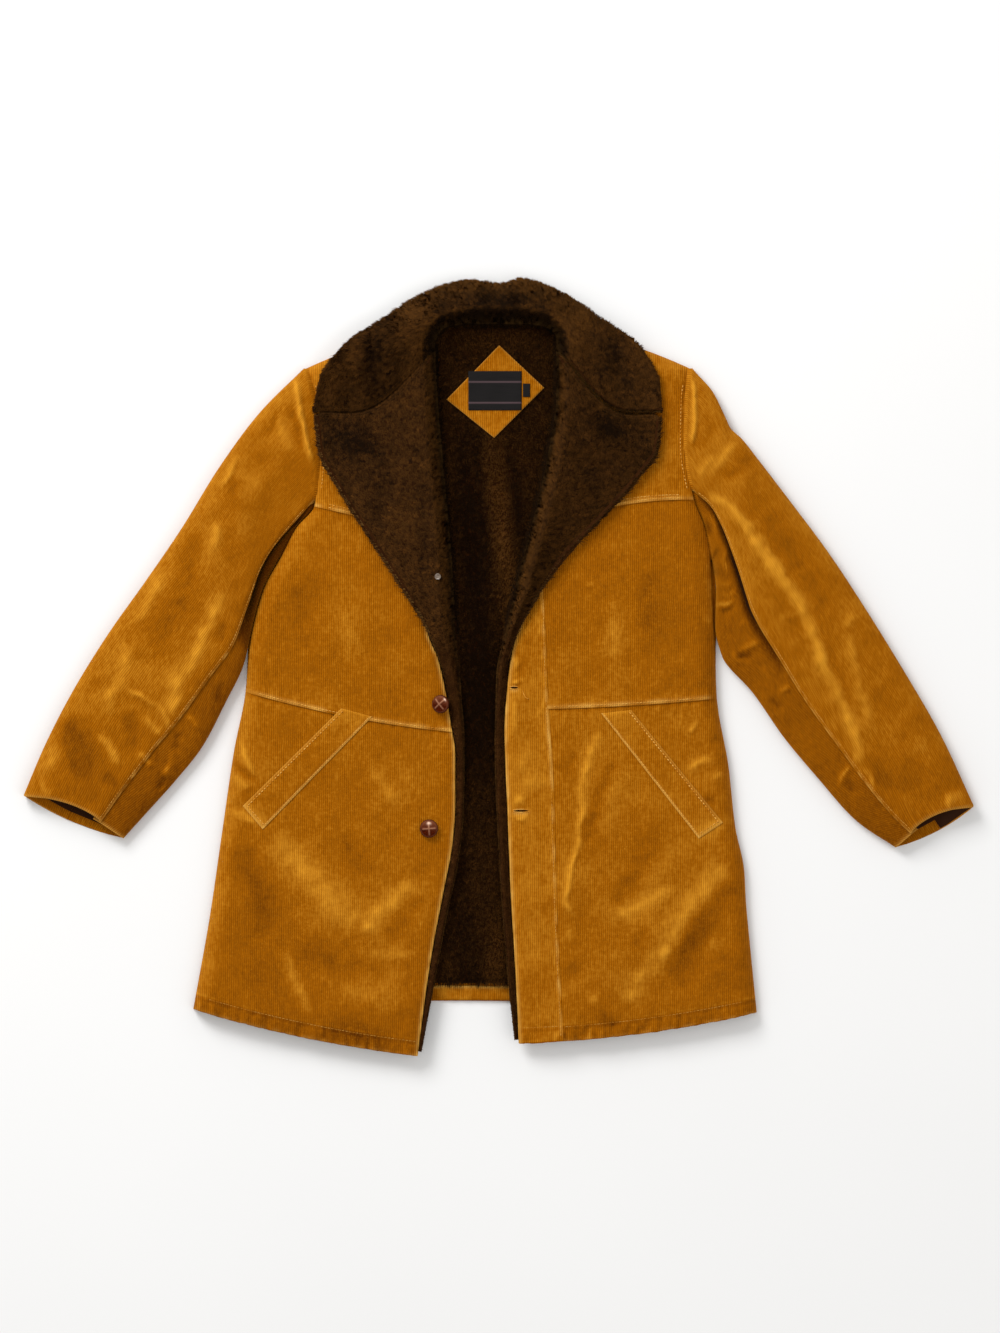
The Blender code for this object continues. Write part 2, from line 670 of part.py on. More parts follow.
def sleeve_plan(sleeve, position, share, level):
    """Plan place of a sleeve point, with the armhole curve at one end and the open cuff at the other."""
    row, first = section(sleeve.rings, position), sleeve.rings[0]
    x, y = mix(row.in_x, row.out_x, share), mix(row.in_y, row.out_y, share)
    fade = max(0.0, 1 - position / ARMHOLE_FADE) ** 2
    armhole_x = column(sleeve.side, "x", mix(first.in_y, first.out_y, share))
    x += fade * (armhole_x - mix(first.in_x, first.out_x, share)) + sleeve.outward * ARMHOLE_GAP
    near_cuff = max(0.0, 1 - (len(sleeve.rings) - 1 - position) / CUFF_RINGS) ** 2
    slide = near_cuff * mix(CUFF_PUSH, -CUFF_PULL, level) * 4 * share * (1 - share)
    run = Vector((-(row.out_y - row.in_y), row.out_x - row.in_x)).normalized() * -sleeve.outward
    return x + run.x * slide, y + run.y * slide


def under_point(sleeve, place, position):
    """The under sleeve: from the hind seam along the floor, round the inner fold, to below the lip."""
    row = section(sleeve.rings, position)
    width = math.hypot(row.out_x - row.in_x, row.out_y - row.in_y)
    height = row.crown - row.step
    kind, value = place
    if kind == "floor":
        share, z = mix(HIND_SEAM - SEAM_GAP / width, tube_share(-FLOOR_ANGLE), value), 0.0
    else:
        angle = mix(-FLOOR_ANGLE, tube_angle(row.seam + UNDERLAP / width), value)
        share, z = tube_share(angle), tube_height(height, angle)
    x, y = sleeve_plan(sleeve, position, share, z / row.crown)
    return x, y, z


def top_point(sleeve, place, position):
    """The top sleeve: from its lip over the seam, across the top, round the outer fold, to the floor."""
    row = section(sleeve.rings, position)
    width = math.hypot(row.out_x - row.in_x, row.out_y - row.in_y)
    kind, value = place
    seam_angle = tube_angle(row.seam)
    lip_z = tube_height(row.crown - row.step, seam_angle) + LIP_GAP
    lip_end = row.seam + LIP / width
    if kind == "floor":
        share, z = mix(1 - tube_share(-FLOOR_ANGLE), HIND_SEAM, value), 0.0
    else:
        if kind == "lip":
            share = row.seam + value / width
            angle = tube_angle(share)
        else:
            angle = mix(tube_angle(lip_end), math.pi + FLOOR_ANGLE, value)
            share = tube_share(angle)
        z = tube_height(row.crown, angle)
        if angle < math.pi:
            z = mix(lip_z, z, rounded((share - row.seam) * width, LIP))
    x, y = sleeve_plan(sleeve, position, share, z / row.crown)
    if kind != "floor" and angle < math.pi:
        z += fold_height(FOLDS, x, y) * rounded((share - row.seam) * width, 3 * LIP) * (z / row.crown)
    return x, y, z


def make_sleeve(maker, side):
    """Two-piece sleeve lying beside the body, its top piece lapping over the under piece."""
    sleeve = SLEEVES[side]
    rings = steps(0, len(sleeve.rings) - 1, RINGS_PER_SLEEVE - 1)
    outside = -sleeve.outward
    under = [("floor", s) for s in steps(0, 1, 6)] + [("tube", s) for s in steps(0, 1, 9)[1:]]
    lip = [("lip", d) for d in round_steps(LIP, (0, 14, 36, 60))]
    top = lip + [("tube", s) for s in steps(0, 1, 12)] + [("floor", s) for s in steps(0, 1, 5)[1:]]
    maker.wall(
        f"{side}_sleeve_under",
        lambda place, position: under_point(sleeve, place, position),
        under,
        rings,
        UNDER_SLEEVE,
        "corduroy",
        outside,
        lambda place, position: mix(RIM_SHARE, 1, min(1.0, position)),
    )
    maker.wall(
        f"{side}_sleeve_top",
        lambda place, position: top_point(sleeve, place, position),
        top,
        rings,
        LINED_SLEEVE,
        "corduroy",
        outside,
        lambda place, position: mix(RIM_SHARE, 1, place[1] / LIP) if place[0] == "lip" else 1.0,
    )


def patch_point(corners, height, lift, share, along):
    """A four-cornered piece lying on a surface: height(x, y) and a lift above it."""
    (a, b), (c, d) = corners
    x = mix(mix(a[0], b[0], share), mix(c[0], d[0], share), along)
    y = mix(mix(a[1], b[1], share), mix(c[1], d[1], share), along)
    return x, y, height(x, y) + lift


def make_patches(maker):
    """Pocket welts on the skirts; diamond, label and tab in the back neck."""

    def lining_height(x, y):
        return LINING_TOP + fold_height(LINING_FOLDS, x, y)

    for side, corners in WELTS.items():
        front = FRONTS[side]
        maker.wall(
            f"{side}_pocket_welt",
            lambda share, along, front=front, corners=corners: patch_point(
                corners, lambda x, y: front_height(front, x, y), WELT_LIFT + CLOTH, share, along
            ),
            steps(0, 1, 3),
            steps(0, 1, 10),
            CLOTH,
            "corduroy",
            -1 if side == "right" else 1,
        )
    lift = SEAM_GAP + CLOTH
    label_lift = lift + SEAM_GAP + LABEL_WALL
    for name, corners, piece_lift, wall, material, count in (
        ("neck_patch", NECK_PATCH, lift, CLOTH, "corduroy", 7),
        ("neck_label", LABEL, label_lift, LABEL_WALL, "label", 4),
        ("size_tab", SIZE_TAB, label_lift, LABEL_WALL, "label", 2),
    ):
        maker.wall(
            name,
            lambda share, along, corners=corners, piece_lift=piece_lift: patch_point(
                corners, lining_height, piece_lift, share, along
            ),
            steps(0, 1, count),
            steps(0, 1, count),
            wall,
            material,
            -1 if name == "neck_patch" else 1,
        )


def make_buttons(maker):
    """Two round buttons on the right front, and the small stay button on the right lapel."""
    front = FRONTS["right"]
    for number, (x, y) in enumerate(BUTTONS, 1):
        bm = bmesh.new()
        bmesh.ops.create_uvsphere(bm, u_segments=16, v_segments=8, radius=1.0)
        size = (BUTTON_RADIUS * MM, BUTTON_RADIUS * MM, BUTTON_HALF_HEIGHT * MM)
        bmesh.ops.scale(bm, vec=size, verts=bm.verts)
        button = maker.add(f"button_{number}", bm, "leather")
        z = front_height(front, x, y) + SEAM_GAP + BUTTON_HALF_HEIGHT
        button.location = Vector((x, y, z)) * MM
    here = Vector(fall_point(RIGHT_FACING_ROWS, ("fall", STAY_BUTTON_REACH), STAY_BUTTON_ROW))
    out = Vector(fall_point(RIGHT_FACING_ROWS, ("fall", STAY_BUTTON_REACH + 0.05), STAY_BUTTON_ROW)) - here
    down = Vector(fall_point(RIGHT_FACING_ROWS, ("fall", STAY_BUTTON_REACH), STAY_BUTTON_ROW + 0.1)) - here
    normal = out.cross(down).normalized()
    bm = bmesh.new()
    bmesh.ops.create_cone(
        bm,
        cap_ends=True,
        segments=18,
        radius1=STAY_BUTTON_RADIUS * MM,
        radius2=STAY_BUTTON_RADIUS * MM,
        depth=STAY_BUTTON_DEPTH * MM,
    )
    stay = maker.add("stay_button", bm, "horn")
    stay.rotation_euler = normal.to_track_quat("Z", "Y").to_euler()
    stay.location = (here + normal * (SEAM_GAP * 2 + STAY_BUTTON_DEPTH / 2)) * MM
    bevel = stay.modifiers.new("rounded", "BEVEL")
    bevel.width = 0.4 * MM
    bevel.segments = 2


def build():
    for leftover in list(bpy.data.objects):
        bpy.data.objects.remove(leftover)
    maker = Maker()
    make_back(maker)
    for side in ("right", "left"):
        make_front(maker, side)
        make_sleeve(maker, side)
    make_folded(maker, "collar", COLLAR_ROWS, 28, -1)
    make_folded(maker, "right_facing", RIGHT_FACING_ROWS, 29, 1)
    make_folded(maker, "left_facing", LEFT_FACING_ROWS, 29, -1)
    make_patches(maker)
    make_buttons(maker)


build()
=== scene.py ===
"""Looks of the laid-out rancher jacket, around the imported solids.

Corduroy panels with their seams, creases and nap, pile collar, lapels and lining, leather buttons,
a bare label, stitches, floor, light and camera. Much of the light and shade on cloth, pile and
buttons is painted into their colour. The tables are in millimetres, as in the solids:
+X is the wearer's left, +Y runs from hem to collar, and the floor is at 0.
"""

import math
from collections import namedtuple

import bmesh
import bpy
import numpy as np
from mathutils import Matrix, Vector


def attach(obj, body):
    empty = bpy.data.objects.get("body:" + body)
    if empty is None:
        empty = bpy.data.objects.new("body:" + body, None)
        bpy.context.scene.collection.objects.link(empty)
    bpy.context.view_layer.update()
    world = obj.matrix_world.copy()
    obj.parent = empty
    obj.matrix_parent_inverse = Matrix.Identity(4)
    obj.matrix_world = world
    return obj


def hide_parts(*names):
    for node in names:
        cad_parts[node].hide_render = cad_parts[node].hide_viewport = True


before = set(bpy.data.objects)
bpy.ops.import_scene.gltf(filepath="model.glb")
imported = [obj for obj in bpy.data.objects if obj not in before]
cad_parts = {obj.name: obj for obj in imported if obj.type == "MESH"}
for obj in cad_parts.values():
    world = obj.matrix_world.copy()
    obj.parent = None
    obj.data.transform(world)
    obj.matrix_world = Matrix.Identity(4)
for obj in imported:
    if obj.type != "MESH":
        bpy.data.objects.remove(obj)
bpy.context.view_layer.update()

MM = 0.001


def table(kind, *rows):
    """Rows with the named columns of their kind."""
    return tuple(kind(*row) for row in rows)


LAYOUT_CENTRE = (-1.5, -0.2)  # middle of the laid-out jacket in the tables

# Walls
CLOTH = 2.0
LINED_FRONT = 6.0
LINED_SLEEVE = 2.4
UNDER_SLEEVE = 1.6
PILE = 7.5
SEAM_GAP = 0.3
RIM_SHARE = 0.3  # of a wall's thickness, at its sewn rim

# The flat body
CROWN = 20.0
SEAM_Z = 3.4
SHOULDER_Z = 4.6
SIDE_ROUND = 22.0
SHOULDER_ROUND = 26.0
SHOULDER_MIDDLE = (-2.4, 357.0)
SHOULDER_HALF_SPAN = 231.0
NECK_RISE = 54.0
EDGE_ROLL = 16.0
EDGE_DROP = 2.5
FOLD_FADE = 45.0
HEM_TURN = 18.0
BACK_HEM_BOW = 12.0
LINING_INSET = 17.0
LINING_NARROWS = (0.86, 0.94)
LINING_NECK_INSET = 150.0
LINING_END = 0.998
LINING_TOP = CLOTH + SEAM_GAP + PILE

SideRow = namedtuple("SideRow", "y x seam_z")
RIGHT_SIDE = table(
    SideRow,
    (-411, -368, SEAM_Z),
    (-299, -348, SEAM_Z),
    (-203, -334, SEAM_Z),
    (-101, -319, SEAM_Z),
    (-29, -305, SEAM_Z),
    (19, -301, SEAM_Z),
    (60, -293, SEAM_Z),
    (96, -282, SEAM_Z),
    (130, -263, 7.0),
    (166, -244, 12.0),
    (193, -222, 16.0),
    (271, -215, 17.0),
    (319, -221, 14.0),
    (357.2, -233, SHOULDER_Z),
)
LEFT_SIDE = table(
    SideRow,
    (-415, 308, SEAM_Z),
    (-335, 300, SEAM_Z),
    (-281, 295, SEAM_Z),
    (-245, 293, SEAM_Z),
    (-191, 282, SEAM_Z),
    (-119, 274, SEAM_Z),
    (-37, 260, SEAM_Z),
    (31, 257, SEAM_Z),
    (91, 254, SEAM_Z),
    (127, 252, 7.0),
    (166, 245, 12.0),
    (201, 232, 16.0),
    (265, 221, 17.0),
    (319, 222, 14.0),
    (357.2, 228, SHOULDER_Z),
)

EdgeRow = namedtuple("EdgeRow", "y x")
RIGHT_EDGE = table(
    EdgeRow,
    (-467, -98),
    (-389, -88),
    (-332, -79),
    (-269, -67),
    (-209, -56),
    (-161, -53),
    (-107, -53),
    (-65, -59),
    (-29, -65),
    (7, -73),
    (44, -86),
    (96, -78),
    (175, -77),
    (247, -84),
    (319, -92),
    (403, -94),
)
LEFT_EDGE = table(
    EdgeRow,
    (-452, 22),
    (-366, 18),
    (-265, 12),
    (-215, 10),
    (-163, 8),
    (-120, 6),
    (-77, 5),
    (-29, 8),
    (12, 13),
    (46, 22),
    (96, 43),
    (175, 59),
    (247, 75),
    (319, 84),
    (403, 84),
)
PLACKET_SEAM = table(
    EdgeRow,
    (-452, 76),
    (-281, 68),
    (-137, 64),
    (-47, 58),
    (90, 52),
)
PLACKET_TOP = 1.64

# Seams across each front, from the side to the free edge
FrontRow = namedtuple("FrontRow", "side_y edge_y bow")
RIGHT_ROWS = table(FrontRow, (-411, -467, -6), (-29, -77, -6), (193, 160, 0))
LEFT_ROWS = table(FrontRow, (-415, -452, -7), (-37, -50, -3), (201, 170, 9))
HEM, WAIST, YOKE, SHOULDER = range(4)
PANEL_LENGTHS = (383.0, 230.0, 180.0)  # skirt, chest and yoke
HEM_STITCH = 17.0
BACK_LENGTH = RIGHT_SIDE[-1].y - RIGHT_SIDE[0].y
TURN_SHARE = HEM_TURN / BACK_LENGTH

# Panels of a front: first and last seam, nap, stitch rows up from the lower edge, radius of the thread
Panel = namedtuple("Panel", "name first last nap stitch_rows thread")
PANELS = table(
    Panel,
    ("skirt", HEM, WAIST, 0.05, (HEM_STITCH,), 0.2),
    ("chest", WAIST, YOKE, -0.1, (3.0,), 0.42),
    ("yoke", YOKE, SHOULDER, 0.05, (2.8, 6.4), 0.42),
)
FREE_EDGE = np.array([13.0, 10.4, 7.8, 5.4, 3.4, 1.8, 0.7, 0.0])  # steps up to a front's free edge

# Worked buttonholes of the placket, as first and last x and y, and the thread end of the upper one
BUTTONHOLES = ((16.8, 33.6, -172.8), (12.6, 21.4, -25.4))
LOOSE_THREAD = ((27.0, -29.0), (28.4, -33.0), (30.2, -36.6), (32.6, -38.4), (35.4, -39.0))
LOOSE_THREAD_RADIUS = 0.65

STAND_Z = LINING_TOP + 1.2
FallRow = namedtuple("FallRow", "roll_x roll_y edge_x edge_y base_z start crest_z edge_z hang wall")
COLLAR_ROWS = table(
    FallRow,
    (-77, 379, -224, 305, STAND_Z, 0, 45, 29.5, 0, PILE),
    (-76, 390, -216, 346, STAND_Z, 0, 46, 28.5, 0.15, PILE),
    (-72, 399, -186, 388, STAND_Z, 0, 47, 25.0, 0.5, PILE),
    (-64, 406, -137, 422, STAND_Z, 0, 48, 19.0, 0.85, PILE),
    (-48, 409, -84, 453, STAND_Z, 0, 49, 14.0, 1, PILE),
    (-26, 410, -38, 465, STAND_Z, 0, 50, 12.0, 1, PILE),
    (-4, 410, 0, 461, STAND_Z, 0, 50, 12.0, 1, PILE),
    (19, 410, 26, 467, STAND_Z, 0, 50, 12.0, 1, PILE),
    (40, 409, 67, 454, STAND_Z, 0, 49, 14.0, 1, PILE),
    (55, 406, 120, 421, STAND_Z, 0, 48, 19.0, 0.85, PILE),
    (63, 400, 169, 384, STAND_Z, 0, 47, 25.0, 0.5, PILE),
    (67, 391, 192, 338, STAND_Z, 0, 46, 28.5, 0.15, PILE),
    (67, 380, 194, 303, STAND_Z, 0, 45, 29.5, 0, PILE),
)
RIGHT_FACING_ROWS = table(
    FallRow,
    (-77, 374, -223, 299, STAND_Z, 0, 45, 29.5, 0, PILE),
    (-74, 319, -218, 257, STAND_Z, 0, 44, 29.5, 0, PILE),
    (-68, 247, -194, 211, STAND_Z, 0, 43, 29.5, 0, PILE),
    (-61, 175, -161, 158, STAND_Z, 0, 42, 29.5, 0, PILE),
    (-56, 109, -125, 103, STAND_Z, 0, 40, 29.5, 0, PILE),
    (-53, 49, -91, 48, 12, 5, 36, 28.5, 0.3, 5),
    (-49, 1, -71, 2, 14.5, 20, 29, 25, 0.6, 2.2),
    (-46, -41, -61, -39, 17, 40, 24, 20.5, 1, 1.7),
    (-43, -83, -54, -82, 18.8, 60, 22, 19, 1, 1.6),
    (-43, -131, -51, -131, 19.3, 60, 21, 18.5, 1, 1.6),
    (-44, -179, -52, -179, 19.3, 60, 21, 18.5, 1, 1.6),
    (-50, -233, -59, -232, 19.3, 60, 21, 18.5, 1, 1.6),
    (-64, -299, -71, -298, 19.3, 60, 21, 18.5, 1, 1.5),
    (-76, -365, -83, -364, 19.3, 60, 21, 18.5, 1, 1.2),
    (-89.5, -437, -93.5, -436, 19.3, 60, 21, 18.5, 1, 0.9),
    (-94, -461, -97, -461, 19.3, 60, 21, 18.5, 1, 0.9),
)
LEFT_FACING_ROWS = table(
    FallRow,
    (67, 373.5, 194, 295.5, STAND_Z, 0, 45, 29.5, 0, PILE),
    (67, 325, 190, 259, STAND_Z, 0, 44, 29.5, 0, PILE),
    (58, 259, 163, 221, STAND_Z, 0, 43, 29.5, 0, PILE),
    (42, 187, 127, 180, STAND_Z, 0, 42, 29.5, 0, PILE),
    (26, 127, 79, 131, STAND_Z, 0, 40, 29.5, 0, PILE),
    (13, 73, 46, 82, 12, 5, 36, 28.5, 0.3, 5),
    (4, 31, 22, 39, 14.5, 20, 29, 25, 0.6, 2.2),
    (-4, -7, 9, 1, 17, 40, 24, 20.5, 1, 1.7),
    (-5, -47, 4, -46, 18.8, 60, 22, 19, 1, 1.6),
    (-6, -95, 3, -95, 19.3, 60, 21, 18.5, 1, 1.6),
    (-5, -149, 5, -149, 19.3, 60, 21, 18.5, 1, 1.6),
    (-2, -203, 7, -203, 19.3, 60, 21, 18.5, 1, 1.6),
    (1, -263, 9.5, -263, 19.3, 60, 21, 18.5, 1, 1.5),
    (6, -329, 13.5, -329, 19.3, 60, 21, 18.5, 1, 1.5),
    (11.5, -395, 17, -395, 19.3, 60, 21, 18.5, 1, 1.5),
    (17.5, -447, 20.5, -447, 19.3, 60, 21, 18.5, 1, 1.0),
)
GORGE_BOW = 27.0
LAPEL_BOW = 29.5
GORGE_ROWS = 2.0
GORGE_POWER = 1.5
CREST_REACH = 18.0
CREST_SHARE = 0.45
LYING_POWER = 0.62
HANGING_POWER = 1.9

RingRow = namedtuple("RingRow", "in_x in_y out_x out_y crown step seam")
RIGHT_RINGS = table(
    RingRow,
    (-263, 130, -233, 357.2, 19, 5.5, 0.30),
    (-283, 91, -286, 304, 23, 8.0, 0.22),
    (-294, 53, -334, 239, 27, 8.0, 0.13),
    (-304, 5, -379, 166, 27, 6.0, 0.15),
    (-327, -44, -422, 103, 26, 5.2, 0.20),
    (-355, -97, -468, 38, 25, 5.2, 0.24),
    (-386, -136, -510, -30, 24, 5.2, 0.26),
    (-420, -174, -542, -92, 24, 5.2, 0.26),
    (-449, -206, -569, -155, 23, 5.2, 0.25),
)
LEFT_RINGS = table(
    RingRow,
    (252, 127, 228, 357.2, 19, 6.0, 0.36),
    (256.5, 91, 272, 294, 24, 9.0, 0.45),
    (255.6, 49, 308, 247, 28, 12.0, 0.43),
    (264, 12, 350, 192, 28, 11.0, 0.36),
    (301, -32, 391, 137, 27, 8.0, 0.29),
    (338, -85, 434, 72, 26, 6.0, 0.27),
    (378, -133, 478, 1, 25, 5.0, 0.26),
    (426, -186, 526, -82, 24, 5.2, 0.25),
    (472, -217, 566, -168, 23, 5.2, 0.22),
)
ARMHOLE_GAP = 2.4
ARMHOLE_FADE = 3.0
TUBE_WIDTH_POWER = 0.7
TUBE_HEIGHT_POWER = 0.6
TUBE_BELLY = 0.35
FLOOR_ANGLE = math.asin((TUBE_BELLY / (1 - TUBE_BELLY)) ** (1 / TUBE_HEIGHT_POWER))
HIND_SEAM = 0.55
UNDERLAP = 10.0
LIP = 12.0
LIP_GAP = 1.3
CUFF_PULL = 13.0
CUFF_PUSH = 6.0
CUFF_RINGS = 1.2
TUCK_IN = 7.0  # seam allowance at the armhole, inwards and down
TUCK_DOWN = 5.0
UNDERARM_SHADE = 1.5  # how much darker the right under sleeve is deep in the underarm
UNDERARM_REACH = 150.0

# Bump and dent of the left sleeve's head: ring, half length in rings, push outwards
LEFT_HEAD = ((0.45, 0.3, 4.6), (1.13, 0.2, -3.3))
HEAD_PUSH = (0.81, 0.58)  # the way outwards there

Sleeve = namedtuple("Sleeve", "side rings outward")
SLEEVES = {
    "right": Sleeve(RIGHT_SIDE, RIGHT_RINGS, -1),
    "left": Sleeve(LEFT_SIDE, LEFT_RINGS, 1),
}
# Where the under sleeve sinks away below the top sleeve's edge: rings, depth, and reach from the edge
Slit = namedtuple("Slit", "first last depth reach")
SLITS = {"right": Slit(0.1, 2.9, 5.0, 20.0), "left": Slit(0.2, 4.4, 6.0, 9.0)}

# The largest folds, as in the solids: middle, half length, half width, direction in degrees, height
Fold = namedtuple("Fold", "x y length width angle height")
FOLDS = table(
    Fold,
    (-190, -293, 75, 28, -41, 2.6),
    (-246, -335, 70, 24, -52, -2.2),
    (-150, -400, 60, 26, -15, 2.0),
    (168, -335, 90, 30, 38, 2.6),
    (232, -352, 60, 22, 44, -2.2),
    (88, -257, 60, 16, 88, 2.2),
    (-180, 60, 70, 26, 62, 1.6),
    (180, 50, 70, 26, 97, 1.6),
    (318, 79, 130, 14, -59, 3.0),
    (372, 30, 70, 15, -56, -2.2),
    (280, 240, 45, 14, -52, 2.4),
    (-400, -60, 70, 14, -57, 2.6),
    (-445, -105, 60, 12, -70, -2.4),
    (-335, 130, 70, 15, -75, 2.2),
    (-285, 215, 50, 14, 62, 2.2),
)
LINING_FOLDS = table(
    Fold,
    (-12, 190, 70, 12, 84, 2.0),
    (-22, -60, 110, 16, 88, 1.6),
    (-16, -290, 70, 18, 100, 1.4),
)
